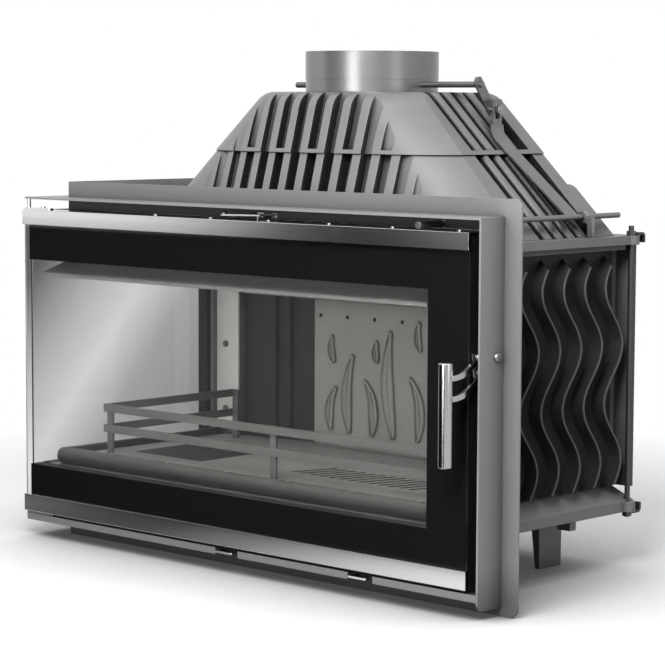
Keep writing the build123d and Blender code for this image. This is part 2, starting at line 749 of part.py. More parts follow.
def plate_screws():
    """Screws of the steel strip."""
    screws = []
    for z in plate_screw_heights:
        shank = rod_along("y", plate_screw_x, corner_wall_y - 2, z, screw_radius - 0.02, 10)
        head = rod_along("y", plate_screw_x, corner_wall_y - 5, z, 5.5, 3)
        screws.append(shank + fillet(head.edges().sort_by(Axis.Y)[0], 1.4))
    return group(screws)


def left_lining():
    """Cast lining in the rear left corner, stepped twice towards the fireback."""
    right = fireback_left - 1
    left = corner_wall_x + 1
    steps = [fireback_front + 7, fireback_front + 14, fireback_front + 21]
    points = [(left, steps[0]), (left + 67, steps[0]), (left + 69, steps[1]), (left + 93, steps[1]), (left + 95, steps[2]),
              (right, steps[2]), (right, rear_inside), (left, rear_inside)]
    return one(prism_z(points, floor_top, lid_bottom - 40))


def right_lining():
    """Cast lining plate in front of the right wall."""
    return one(block(wall_inside - 9, wall_inside, box_back + 5, fireback_front - 1, floor_top, floor_top + fireback_height - 10))


fireback_right = wall_inside - 3.0


def fireback():
    """Cast back plate with a row of air holes near its top edge and two spacer feet behind."""
    back = fireback_front + fireback_thickness
    plate = block(fireback_left, fireback_right, fireback_front, back, floor_top, floor_top + fireback_height)
    plate = chamfer(plate.edges().filter_by(Axis.Z).group_by(Axis.Y)[0], 3)
    for k in range(9):
        x = fireback_left + 16 + air_hole_spacing * k
        plate -= rod_along("y", x, fireback_front - 1, floor_top + fireback_height - 25, 3.2, fireback_thickness + 2)
    for x in (fireback_left + 40, fireback_right - 60):
        for z in (floor_top, floor_top + fireback_height - 24):
            plate += block(x, x + 20, back, rear_inside, z, z + 24)
    return one(plate)


def baffle_underside(y):
    """Height of the baffle's underside behind its ridge."""
    ridge = window_high - baffle_ridge_drop
    seat = floor_top + fireback_height
    return seat + (ridge - seat) * (fireback_front - y) / (fireback_front - baffle_ridge)


def baffle_plate():
    """Deflector over the fire: it rises from its nose to a ridge and slopes down to its seat on the fireback."""
    t = baffle_thickness
    nose = window_high - baffle_nose_drop
    ridge = baffle_underside(baffle_ridge)
    seat = baffle_underside(fireback_front)
    rear = fireback_front + baffle_seat
    profile = [(baffle_front, nose), (baffle_ridge, ridge), (fireback_front, seat), (rear, seat), (rear, seat + t),
               (fireback_front, seat + t), (baffle_ridge, ridge + t), (baffle_front + 3, nose + t), (baffle_front, nose + t - 2)]
    plate = prism_x(profile, baffle_left, wall_inside - 1)
    return one(plate - block(0, baffle_notch, side_length - 14, body_rear, seat - 10, ridge + 20))


def baffle_lug():
    """Lug on the right wall that carries the baffle behind its ridge."""
    y0 = baffle_ridge + 25
    y1 = y0 + 50
    profile = [(y0, baffle_underside(y0)), (y1, baffle_underside(y1)), (y1, baffle_underside(y1) - 8), (y0, baffle_underside(y0) - 18)]
    return one(prism_x(profile, wall_inside - 26, wall_inside))


stud_spacing = (window_right - stud_last_inset - stud_first) / (stud_count - 1)
sill_stud_places = [stud_first + stud_spacing * k for k in range(stud_count)]


def nosing(length):
    """Threshold bar along X from the origin: round nose in front, level top."""
    nose = rod_along("x", 0, sill_radius, sill_radius, sill_radius, length)
    return nose + block(0, length, sill_radius, sill_depth, 0, sill_radius * 2) - block(0, length, sill_depth, sill_radius * 2 + 1, 0, sill_radius * 2)


def hearth_sill():
    """Threshold with a rounded nose behind the door."""
    sill = Pos(39, box_front + 6, window_low) * nosing(window_right - 5 - 39)
    for x in sill_stud_places:
        sill -= rod_along("z", x, box_front + 18, window_low - 1, 2.5, 40)
    return one(sill)


def side_sill():
    """Matching threshold behind the side pane."""
    length = side_length - 4 - 62
    bar = Pos(box_left + 1, 62, window_low) * mirror(Rot(0, 0, 90) * nosing(length), about=Plane.YZ)
    return one(bar)


def sill_studs():
    """Small studs along the threshold."""
    top = window_low + 2 * sill_radius
    studs = []
    for x in sill_stud_places:
        stud = rod_along("z", x, box_front + 18, window_low - 9, 2.48, top - window_low + 9)
        studs.append(stud + rod_along("z", x, box_front + 18, top, 4.0, 1.8))
    return group(studs)


guard_posts = [(guard_left, guard_front), (guard_post_x, guard_front), (guard_right, guard_front), (guard_left, guard_rear)]
hatches = [(grate_left, grate_length), (cover_left, cover_length)]


def hearth_floor():
    """Cast floor plate with rebated openings for the grate and for the cover beside it."""
    plate = block(body_left, wall_inside, base_front, rear_inside, base_top, floor_top)
    for x, length in hatches:
        plate -= block(x, x + length, hatch_front, hatch_front + hatch_width, base_top + 3, floor_top + 1)
        plate -= block(x + 6, x + length - 6, hatch_front + 6, hatch_front + hatch_width - 6, base_top - 1, floor_top + 1)
    plate -= block(0, corner_wall_x + gap, corner_wall_y - gap, body_rear, base_top - 1, floor_top + 1)
    for x, y in guard_posts:
        plate -= rod_along("z", x, y, base_top - 1, guard_foot_radius + gap, floor_thickness + 2)
    return one(plate)


def hatch_blank(x, length, top):
    """Plate that lies in the rebate of one floor opening."""
    ease = 0.6
    return block(x + ease, x + length - ease, hatch_front + ease, hatch_front + hatch_width - ease, base_top + 3, top)


def grate():
    """Lift-out cast grate with slanted slots."""
    plate = hatch_blank(grate_left, grate_length, floor_top)
    pitch = (grate_length - 50) / (grate_slot_count - 1)
    for k in range(grate_slot_count):
        x = grate_left + 25 + pitch * k
        plate -= Pos(x, hatch_front + hatch_width / 2, floor_top) * Rot(0, 0, -18) * slot_cutter(hatch_width - 40)
    return one(plate)


def slot_cutter(length):
    """Cutter for one slot with round ends, lying along Y."""
    face = Rot(0, 0, 90) * SlotOverall(length, 8)
    return extrude(Pos(0, 0, -12) * face, amount=24)


def hatch_cover():
    """Plain cover over the second floor opening."""
    plate = hatch_blank(cover_left, cover_length, floor_top - 1)
    return one(chamfer(plate.faces().sort_by(Axis.Z)[-1].edges(), 1.5))


def ash_pan():
    """Folded steel pan standing in the base under the grate."""
    x0 = grate_left - 20
    x1 = grate_left + grate_length + 20
    y0 = hatch_front - 20
    y1 = hatch_front + hatch_width + 20
    z0 = base_bottom + 6
    pan = block(x0, x1, y0, y1, z0, z0 + pan_height)
    pan -= block(x0 + pan_wall, x1 - pan_wall, y0 + pan_wall, y1 - pan_wall, z0 + pan_wall, z0 + pan_height + 1)
    return one(pan)


def log_guard():
    """Lift-out rail: flat bars on round-footed posts across the front and along the left side."""
    foot = floor_top + gap
    half = guard_bar / 2
    flat = guard_flat / 2
    guard = None
    for x, y in guard_posts:
        post = block(x - half, x + half, y - flat, y + flat, foot, guard_top)
        post += rod_along("z", x, y, base_top + gap, guard_foot_radius, foot - base_top + 2)
        guard = post if guard is None else guard + post
    for z in (guard_top, guard_middle):
        guard += block(guard_left - half, guard_right + half, guard_front - flat - guard_flat, guard_front - flat, z - guard_bar, z)
        guard += block(guard_left - half - guard_flat, guard_left - half, guard_front - flat - guard_flat, guard_rear + flat, z - guard_bar, z)
    return one(guard)


# ---- lid and dome ----------------------------------------------------------------------------------------
def dome_half(z):
    """Half of the dome's width at a height, between its flat sides."""
    return dome_half_width - (z - lid_top) * side_lean


def dome_plan(half, y0, y1, front_radius, rear_radius, z):
    """Plan with a bowed front, straight sides and rear, and round corners."""
    corner_y = y0 + half / dome_bow
    left = flue_x - half
    right = flue_x + half
    front = ThreePointArc((left, corner_y), (flue_x, y0), (right, corner_y))
    sheet = make_face([front, Line((right, corner_y), (right, y1)), Line((right, y1), (left, y1)), Line((left, y1), (left, corner_y))])
    sheet = fillet(sheet.vertices().group_by(Axis.Y)[-1], rear_radius)
    sheet = fillet(sheet.vertices().group_by(Axis.Y)[0], front_radius)
    return Pos(0, 0, z) * sheet


def dome_outside(z, outset):
    """Outer plan at a height, before the round corners are cut by the flat sides."""
    rise = z - lid_top
    y0 = dome_front + rise * front_lean - outset
    y1 = dome_rear - rise * rear_lean + outset
    return dome_plan(dome_half(z) + outset + dome_crease, y0, y1, dome_front_radius, dome_rear_radius, z)


def dome_inside(z, slot_depth):
    """Plan of the smoke space at a height."""
    rise = z - lid_top
    y0 = dome_front + rise * front_lean + slot_depth + dome_wall
    y1 = dome_rear - rise * rear_lean - dome_wall
    return dome_plan(dome_half(z) - pocket_depth - side_wall, y0, y1, dome_inner_radius, dome_inner_radius / 2, z)


def between_sides(z0, z1, outset, rounded):
    """Space between the two flat sides of the dome."""
    low = dome_half(z0) + outset
    high = dome_half(z1) + outset
    points = [(flue_x - low, z0), (flue_x + low, z0), (flue_x + high, z1), (flue_x - high, z1)]
    wedge = prism_y(points, box_back, body_rear + hump_reach)
    if rounded:
        wedge = fillet(wedge.edges().filter_by(Axis.Y).group_by(Axis.Z)[-1], dome_shoulder)
    return wedge


def front_slots(z0, z1, count, depth, ledge):
    """Slots across the front with flat floors, so that they run out where the bowed front draws back."""
    cuts = []
    for k in range(count):
        x = flue_x + slot_pitch * (k - (count - 1) / 2)
        low = z0 + (ledge if k % 2 else 0)
        floor_low = dome_front + (low - lid_top) * front_lean + depth
        floor_high = dome_front + (z1 - lid_top) * front_lean + depth
        points = [(floor_low, low), (floor_high, z1), (dome_front - 60, z1), (dome_front - 60, low)]
        cuts.append(prism_x(points, x - slot_width / 2, x + slot_width / 2))
    return cuts


def side_cutters(z0, z1, side, ledge):
    """Pocket across a leaning side face, and the round-backed ribs left standing in it."""
    half = rib_pitch * rib_count / 2
    depth = pocket_depth
    low = z0 + ledge
    outside = flue_x + side * (dome_half_width + 80)

    def face_x(z, inwards):
        return flue_x + side * (dome_half_width - (z - lid_top) * side_lean - inwards)

    pocket = prism_y([(face_x(low, depth), low), (face_x(z1, depth), z1), (outside, z1), (outside, low)],
                     rib_middle - half, rib_middle + half)
    radius = rib_radius
    sink = radius / cos(radians(dome_side_lean))
    slant = (z1 - z0 + 40) / cos(radians(dome_side_lean))
    ribs = None
    for k in range(rib_count - 1):
        y = rib_middle - half + rib_pitch * (k + 1)
        start = z0 - 20
        bar = Cylinder(radius, slant, align=(Align.CENTER, Align.CENTER, Align.MIN))
        bar = Pos(face_x(start, sink), y, start) * Rot(0, -side * dome_side_lean, 0) * bar
        web = prism_y([(face_x(low, depth + 2), low), (face_x(z1, depth + 2), z1), (face_x(z1, sink), z1), (face_x(low, sink), low)],
                      y - radius, y + radius)
        rib = bar + web
        ribs = rib if ribs is None else ribs + rib
    return pocket, ribs


def dome_part(z0, z1, count, depth, ledge, upper):
    """One cast half of the dome: leaning walls, slots across the front and ribs on the sides, hollow inside."""
    outset = dome_step if upper else 0
    outer = loft([dome_outside(z0, outset), dome_outside(z1, outset)], ruled=True)
    if upper:
        outer = fillet(outer.faces().sort_by(Axis.Z)[-1].edges(), dome_shoulder)
    outer &= between_sides(z0, z1, outset, upper)
    shaped = outer
    for cut in front_slots(z0 - (0 if upper else 1), z1 + 1, count, depth, ledge):
        shaped -= cut
    for side in (-1, 1):
        pocket, ribs = side_cutters(z0, z1 + 1, side, ledge)
        shaped = (shaped - pocket) + (ribs & outer)
    top = z1 - dome_wall * 2 if upper else z1 + 1
    return shaped - loft([dome_inside(z0 - 1, depth), dome_inside(top, depth)], ruled=True)


def dome_lower():
    """Lower half of the dome, standing on the lid plate, with a low thick rim along its rear edge."""
    hump = between_sides(lid_top, lid_top + hump_rise, 0, False)
    hump &= block(0, door_width, dome_rear + hump_reach - hump_thickness, dome_rear + hump_reach, lid_top, parting)
    hump = fillet(hump.edges().filter_by(Axis.Y).group_by(Axis.Z)[-1], hump_radius)
    cavity = loft([dome_inside(lid_top - 1, slot_depth_low), dome_inside(parting, slot_depth_low)], ruled=True)
    return one(dome_part(lid_top, parting, slot_count_low, slot_depth_low, 0, False) + (hump - cavity))


def dome_upper():
    """Upper half of the dome with the flue opening and a level seat for the collar."""
    part = dome_part(parting, dome_top, slot_count_high, slot_depth_high, slot_ledge, True)
    seat = 2 * dome_wall
    part += rod_along("z", flue_x, flue_y, dome_top - seat, collar_diameter / 2 + 1.5, seat)
    part -= rod_along("z", flue_x, flue_y, dome_top - 60, collar_diameter / 2 - collar_wall, 62)
    return one(part)


def lid_plate():
    """Cast top plate with corner bosses and the opening under the dome."""
    plate = block(body_left, body_right, box_back + gap, body_rear, lid_bottom, lid_top)
    plate = fillet(plate.edges().filter_by(Axis.Z), 12)
    for x, y in corner_bosses:
        plate += rod_along("z", x, y, lid_bottom, boss_radius, lid_thickness)
    for port in wash_ports(0, lid_bottom - 1, lid_top + 1):
        plate -= port
    opening = dome_inside(lid_top, slot_depth_low)
    plate -= extrude(Pos(0, 0, -20) * opening, amount=40)
    for x, y in corner_bosses:
        plate -= rod_along("z", x, y, lid_bottom - 1, tie_rod_diameter / 2, lid_thickness + 2)
    return one(plate)


def tie_rods():
    """Long studs that clamp the lid plate down on the base."""
    rods = []
    for x, y in corner_bosses:
        rods.append(rod_along("z", x, y, base_bottom - 8, tie_rod_diameter / 2 - 0.02, lid_top + 14 - base_bottom + 8))
    return group(rods)


def hex_nut(x, y, z):
    """Hexagon nut on a tie rod."""
    return hex_bolt_z(x, y, z, 13, 6.5) - rod_along("z", x, y, z - 1, tie_rod_diameter / 2, 10)


def tie_nuts():
    """Nuts at both ends of the tie rods."""
    nuts = []
    for x, y in corner_bosses:
        nuts.append(hex_nut(x, y, lid_top))
        nuts.append(hex_nut(x, y, base_bottom - 6.5))
    return group(nuts)


def flue_collar():
    """Short socket for the flue pipe, with bores for the damper shaft."""
    radius = collar_diameter / 2
    tube = rod_along("z", flue_x, flue_y, dome_top, radius - collar_step, collar_height)
    tube += rod_along("z", flue_x, flue_y, dome_top + collar_foot, radius, collar_height - collar_foot)
    tube -= rod_along("z", flue_x, flue_y, dome_top - 1, collar_diameter / 2 - collar_wall, collar_height + 2)
    tube -= rod_along("x", flue_x - collar_diameter, flue_y, shaft_z, shaft_diameter / 2 + fit, 2 * collar_diameter)
    return one(tube)


# ---- damper ----------------------------------------------------------------------------------------------
def damper_shaft():
    """Spindle across the collar, flattened where the blade is fixed."""
    start = flue_x - collar_diameter / 2 - shaft_stub
    shaft = rod_along("x", start, flue_y, shaft_z, shaft_diameter / 2, flue_x + shaft_reach - start)
    reach = blade_radius
    shaft -= block(flue_x - reach, flue_x + reach, flue_y - 10, flue_y + 10, shaft_z, shaft_z + 10)
    return one(shaft)


def damper_blade():
    """Round plate that shuts the flue, screwed to the flat of the shaft."""
    disc = rod_along("z", flue_x, flue_y, shaft_z, blade_radius, blade_thickness)
    return one(disc)


def damper_lever():
    """Flat crank on the end of the shaft."""
    lean = radians(lever_rest_angle)
    half = lever_width / 2

    def at(length, offset):
        y = flue_y + sin(lean) * length + cos(lean) * offset
        z = shaft_z - cos(lean) * length + sin(lean) * offset
        return (y, z)

    points = [at(-10, -half + 2), at(-13, 0), at(-8, half), at(lever_length + 6, half), at(lever_length + 9, 4), at(lever_length + 9, -4),
              at(lever_length + 6, -half), at(-7, -half)]
    plate = prism_x(points, crank_x, crank_x + link_thickness)
    plate -= rod_along("x", crank_x - 1, flue_y, shaft_z, shaft_diameter / 2, link_thickness + 2)
    plate -= rod_along("x", crank_x - 1, pin_y, pin_z, lever_bolt_diameter / 2, link_thickness + 2)
    return one(plate)


def lever_bolt():
    """Bolt through the crank that runs in the slot of the link, with its nut."""
    radius = lever_bolt_diameter / 2
    head = extrude(RegularPolygon(5.0, 6, major_radius=False), amount=4)
    nut_x = link_x + link_thickness + 1
    bolt = rod_along("x", crank_x - 1, pin_y, pin_z, radius - 0.02, nut_x + 7 - crank_x)
    bolt += rod_along("x", crank_x + link_thickness, pin_y, pin_z, radius + 1.6, link_x - crank_x - link_thickness - 0.5)
    bolt += Pos(crank_x - 4, pin_y, pin_z) * Rot(0, 90, 0) * head
    bolt += Pos(nut_x, pin_y, pin_z) * Rot(0, 90, 0) * extrude(RegularPolygon(6.5, 6, major_radius=False), amount=5)
    return one(bolt)


def link_bar():
    """Slotted head beside the crank and a long flat bar down to the pull rod."""
    x1 = link_x + link_thickness
    half = link_width / 2
    slot_low = shaft_z - lever_length - lever_bolt_diameter / 2 - 1.5
    slot_high = pin_z + lever_bolt_diameter / 2 + 5
    head_low = slot_low - 8
    middle = link_x + link_thickness / 2
    head = block(link_x, x1, pin_y - half, pin_y + half, head_low, slot_high + 7)
    head -= block(link_x - 1, x1 + 1, pin_y - link_slot / 2, pin_y + link_slot / 2, slot_low, slot_high)
    route = FilletPolyline((middle, head_low), (middle, head_low - 16), (rod_x, rod_height + 1), radius=link_bend)
    strip = extrude(Plane.XZ * trace(route, link_thickness), amount=link_bar_width / 2, both=True)
    bar = Pos(0, pin_y, 0) * strip
    return one(head + bar - rod_along("y", rod_x, pin_y - 20, rod_height, rod_diameter / 2, 40))


def pull_rod():
    """Round rod from the recess above the door to the rear of the lid."""
    rod = rod_along("y", rod_x, rod_front, rod_height, rod_diameter / 2, rod_rear - rod_front)
    return one(chamfer(rod.edges().sort_by(Axis.Y)[-1], 1.0))


def rod_knob():
    """Small turned knob on the front end of the pull rod."""
    profile = make_face(Polyline((0, 0, 0), (0, 4.2, 0), (2, 5.2, 0), (9, 5.2, 0), (12, 4.2, 0), (18, 4.2, 0), (18, 0, 0), close=True))
    knob = revolve(profile, Axis.X)
    knob = Pos(rod_x, rod_front - 12, rod_height) * Rot(0, 0, 90) * knob
    knob -= rod_along("y", rod_x, rod_front, rod_height, rod_diameter / 2, 10)
    return one(knob)


def rod_guide():
    """Eye bracket on the lid plate that carries the pull rod."""
    outer = rod_diameter / 2 + 4
    post_x = flue_x + dome_half_width + 1
    eye = rod_along("y", rod_x, guide_y, rod_height, outer, 6)
    eye += block(rod_x, post_x + 9, guide_y, guide_y + 6, rod_height - outer, rod_height)
    eye += block(post_x, post_x + 9, guide_y, guide_y + 6, lid_top, rod_height)
    eye += block(post_x, post_x + 9, guide_y, guide_y + 20, lid_top, lid_top + 3)
    eye -= rod_along("y", rod_x, guide_y - 1, rod_height, rod_diameter / 2 + fit, 8)
    return one(eye)


# ---- air controls ----------------------------------------------------------------------------------------
def air_slide(start):
    """Bright tongue that shows in a notch of the bottom ledge, and a slotted shutter behind the ledge."""
    face = box_back + gap
    tab = block(start, start + slide_width, slide_front, face + 2, slide_low, slide_low + 3)
    tab = fillet(tab.edges().filter_by(Axis.Z).group_by(Axis.Y)[0], 3)
    left = start - shutter_reach
    shutter = block(left, left + shutter_length, face, face + 2, slide_low, base_top - 4)
    for k in range(4):
        x = start - 9 - slide_travel + port_pitch * k
        shutter -= block(x, x + port_width, face - 1, face + 3, base_bottom + 12, base_bottom + 26)
    return one(tab + shutter)


lever_pin_radius = 3.0
lever_bearing = 27.0


def air_lever():
    """Small lever in the recess over the door; it swings on an upright pin and moves the air-wash shutter."""
    half = 4.0
    arm = block(lever_x - lever_reach, lever_x + 6, lever_y - half, lever_y + half, wash_z - 1.2, wash_z + 1.2)
    arm = fillet(arm.edges().filter_by(Axis.Z), 3.6)
    knob = Pos(lever_x - lever_reach + 6, lever_y, wash_z + 1.8) * Sphere(4)
    lever = Pos(lever_x, lever_y, 0) * Rot(0, 0, lever_bearing) * Pos(-lever_x, -lever_y, 0) * (arm + knob)
    lever += block(lever_x - half, lever_x + half, lever_y, lever_y + lever_tail + half, wash_z - 1.2, wash_z + 1.2)
    lever += rod_along("z", lever_x, lever_y + lever_tail, lid_top + glide, 2.5, wash_z - lid_top - glide)
    lever += rod_along("z", lever_x, lever_y, door_top - 8, lever_pin_radius, wash_z - door_top + 8)
    return one(lever)


def wash_ports(shift, z0, z1):
    """Row of slots that let wash air down behind the header."""
    ports = []
    for k in range(-2, 3):
        if k != 0:
            x = lever_x + wash_pitch * k + shift
            ports.append(block(x - 5, x + 5, box_back + 6, box_back + 22, z0, z1))
    return ports


def air_shutter():
    """Slotted strip on the lid that the lever's tail moves to and fro over the wash-air slots."""
    y0 = box_back + 2
    half = wash_pitch * 2 + 22
    strip = block(lever_x - half, lever_x + half, y0, y0 + 26, lid_top + gap, lid_top + gap + 3)
    slot_y = lever_y + lever_tail
    strip -= block(lever_x - 3.1, lever_x + 3.1, slot_y - 5, slot_y + 5, lid_top, wash_z)
    for port in wash_ports(-5, lid_top, lid_top + 5):
        strip -= port
    return one(strip)


# ---- feet and clamps -------------------------------------------------------------------------------------
def foot(x, y, side):
    """Folded leg open towards the middle of the body; x is its outer face and side points outwards."""
    half = foot_depth / 2
    inner = x - side * foot_width_top
    leg = prism_y([(x, 0), (x - side * foot_width_sole, 0), (inner, base_bottom), (x, base_bottom)], y - half, y + half)
    leg &= prism_x([(y - half + foot_flare, 0), (y + half - foot_flare, 0), (y + half, base_bottom), (y - half, base_bottom)],
                   x - 50, x + 50)
    low, high = sorted((inner - side, x - side * foot_sheet))
    leg -= block(low, high, y - half + foot_sheet + foot_flare, y + half - foot_sheet - foot_flare, -1, base_bottom - foot_sheet)
    low, high = sorted((inner, x + side * foot_flange))
    return leg + block(low, high, y - half, y + half, base_bottom - foot_sheet, base_bottom)


foot_sheet = 3.0


def feet():
    """Four folded legs under the base."""
    right = body_right - foot_outer_inset
    left = body_left + foot_outer_left
    rear = body_rear - foot_rear_inset
    return group([foot(x, y, side) for x, side in ((right, 1), (left, -1)) for y in (foot_front_y, rear)])


def clamp_hooks():
    """Bent clips over the rear edges of the lid plate and of the base, beside the corner bosses."""
    hooks = []
    for x in (body_right - 10, body_left + 10):
        for face, side in ((lid_top, 1), (base_bottom, -1)):
            y = body_rear
            heights = [(y - 7, 0), (y - 7, 4), (y + 8, 4), (y + 12, 0), (y + 12, -11), (y + 8, -11), (y + 8, 0)]
            hooks.append(prism_x([(along, face + side * rise) for along, rise in heights], x - 8, x + 8))
    return group(hooks)


# ---- assembly --------------------------------------------------------------------------------------------
pieces = {
    "frame_top": frame_top(),
    "frame_bottom": frame_bottom(),
    "frame_right_leg": frame_right_leg(),
    "frame_rear_leg": frame_rear_leg(),
    "door_glass": door_glass(),
    "door_trim_top": trim(False, door_top - trim_top_height, trim_top_height, True),
    "door_trim_bottom": trim(False, door_bottom, trim_bottom_height, False),
    "door_frame": door_frame(),
    "door_gasket": door_gasket(),
    "door_screws": door_screws(),
    "door_hinges": door_hinges(),
    "door_handle": door_handle(),
    "handle_bolts": handle_bolts(),
    "cheek_screw": cheek_screw(),
    "side_glass": side_glass(),
    "side_trim_top": trim(True, door_top - trim_top_height, trim_top_height, True),
    "side_trim_bottom": trim(True, door_bottom, trim_bottom_height, False),
    "side_frame": side_frame(),
    "front_casting": front_casting(),
    "base_casting": base_casting(),
    "right_wall": right_wall(),
    "rear_wall": rear_wall(),
    "left_post": left_post(),
    "side_plate": side_plate(),
    "plate_screws": plate_screws(),
    "left_lining": left_lining(),
    "right_lining": right_lining(),
    "fireback": fireback(),
    "baffle_plate": baffle_plate(),
    "baffle_lug": baffle_lug(),
    "hearth_sill": hearth_sill(),
    "side_sill": side_sill(),
    "sill_studs": sill_studs(),
    "hearth_floor": hearth_floor(),
    "grate": grate(),
    "hatch_cover": hatch_cover(),
    "ash_pan": ash_pan(),
    "log_guard": log_guard(),
    "lid_plate": lid_plate(),
    "dome_lower": dome_lower(),
    "dome_upper": dome_upper(),
    "flue_collar": flue_collar(),
    "damper_shaft": damper_shaft(),
    "damper_blade": damper_blade(),
    "damper_lever": damper_lever(),
    "lever_bolt": lever_bolt(),
    "link_bar": link_bar(),
    "pull_rod": pull_rod(),
    "rod_knob": rod_knob(),
    "rod_guide": rod_guide(),
    "air_slide_left": air_slide(slide_left_x),
    "air_slide_right": air_slide(slide_right_x),
    "air_lever": air_lever(),
    "air_shutter": air_shutter(),
    "feet": feet(),
    "tie_rods": tie_rods(),
    "tie_nuts": tie_nuts(),
    "clamp_hooks": clamp_hooks(),
}

boxes = [piece.bounding_box() for piece in pieces.values()]
middle_x = (min(box.min.X for box in boxes) + max(box.max.X for box in boxes)) / 2
middle_y = (min(box.min.Y for box in boxes) + max(box.max.Y for box in boxes)) / 2
centring = Pos(-middle_x, -middle_y, -min(box.min.Z for box in boxes))

for name, piece in pieces.items():
    export_step(centring * piece, f"parts/{name}.step")
    print(name, round(piece.volume / 1000, 1), len(piece.solids()))
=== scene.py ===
import bpy
from math import radians
import numpy as np
from mathutils import Matrix, Vector


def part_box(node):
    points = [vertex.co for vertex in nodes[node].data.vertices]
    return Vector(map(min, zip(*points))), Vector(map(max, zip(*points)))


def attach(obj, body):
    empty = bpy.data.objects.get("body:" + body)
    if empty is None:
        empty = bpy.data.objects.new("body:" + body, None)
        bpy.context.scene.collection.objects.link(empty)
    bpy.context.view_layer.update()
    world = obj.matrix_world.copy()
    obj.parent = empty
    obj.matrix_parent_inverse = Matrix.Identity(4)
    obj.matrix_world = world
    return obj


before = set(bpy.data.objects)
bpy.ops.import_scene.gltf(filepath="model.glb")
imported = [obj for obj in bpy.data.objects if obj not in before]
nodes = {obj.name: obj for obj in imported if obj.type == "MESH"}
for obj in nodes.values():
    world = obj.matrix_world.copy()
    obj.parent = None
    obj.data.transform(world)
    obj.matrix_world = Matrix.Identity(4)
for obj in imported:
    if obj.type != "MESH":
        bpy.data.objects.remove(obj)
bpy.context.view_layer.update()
print("frame loaded:", len(nodes), "nodes")

# The door trim's front left corner is where the insert's own drawing starts from; the drawing is in millimetres.
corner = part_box("door_trim_top")[0]


def place(x, y, z):
    # drawing millimetres to scene metres
    return (x / 1000 + corner[0], y / 1000 + corner[1], z / 1000)


cameraSettings = {
    "at": (2889.69, -2368.76, 674.56),   # drawing millimetres
    "turn": 43.2710,                     # degrees to the left of straight ahead
    "dip": 5.4880,                       # degrees downwards
    "roll": 0.2478,                      # degrees
    "focal": 129.721,                    # mm
    "sensor": 36,                        # mm wide
    "reach": 60,                         # metres
}


def addCamera(s):
    camera = bpy.data.objects.new("photoCamera", bpy.data.cameras.new("photoCamera"))
    bpy.context.scene.collection.objects.link(camera)
    camera.data.lens = s["focal"]
    camera.data.sensor_width = s["sensor"]
    camera.data.clip_end = s["reach"]
    turn = Matrix.Rotation(radians(s["turn"]), 4, "Z")
    dip = Matrix.Rotation(radians(90 - s["dip"]), 4, "X")
    roll = Matrix.Rotation(radians(s["roll"]), 4, "Z")
    camera.matrix_world = Matrix.Translation(place(*s["at"])) @ turn @ dip @ roll
    bpy.context.scene.camera = camera


addCamera(cameraSettings)
print("camera placed")


def paint(code):
    # sRGB hex code to linear RGBA: ((c + 0.055) / 1.055) ^ 2.4 above 0.04045, c / 12.92 below
    c = np.array([int(code[i:i + 2], 16) / 255 for i in (1, 3, 5)])
    linear = np.where(c > 0.04045, ((c + 0.055) / 1.055) ** 2.4, c / 12.92)
    return (*[float(v) for v in linear], 1.0)


def addNode(tree, kind, settings=None, links=None):
    # one node, its settings by input number, input name or attribute name, and its links from other sockets
    node = tree.nodes.new(kind)
    for key, value in (settings or {}).items():
        if isinstance(key, int) or key in node.inputs:
            node.inputs[key].default_value = value
        else:
            setattr(node, key, value)
    for key, socket in (links or {}).items():
        tree.links.new(socket, node.inputs[key])
    return node


# In a Map Range node, inputs 1 and 2 are the range that is read and 3 and 4 the range that comes out.
# In a Mix node set to colours, input 0 is the factor and inputs 6 and 7 are the two colours.


def newMaterial(name):
    material = bpy.data.materials.new(name)
    material.use_nodes = True
    material.node_tree.nodes.clear()
    return material, material.node_tree


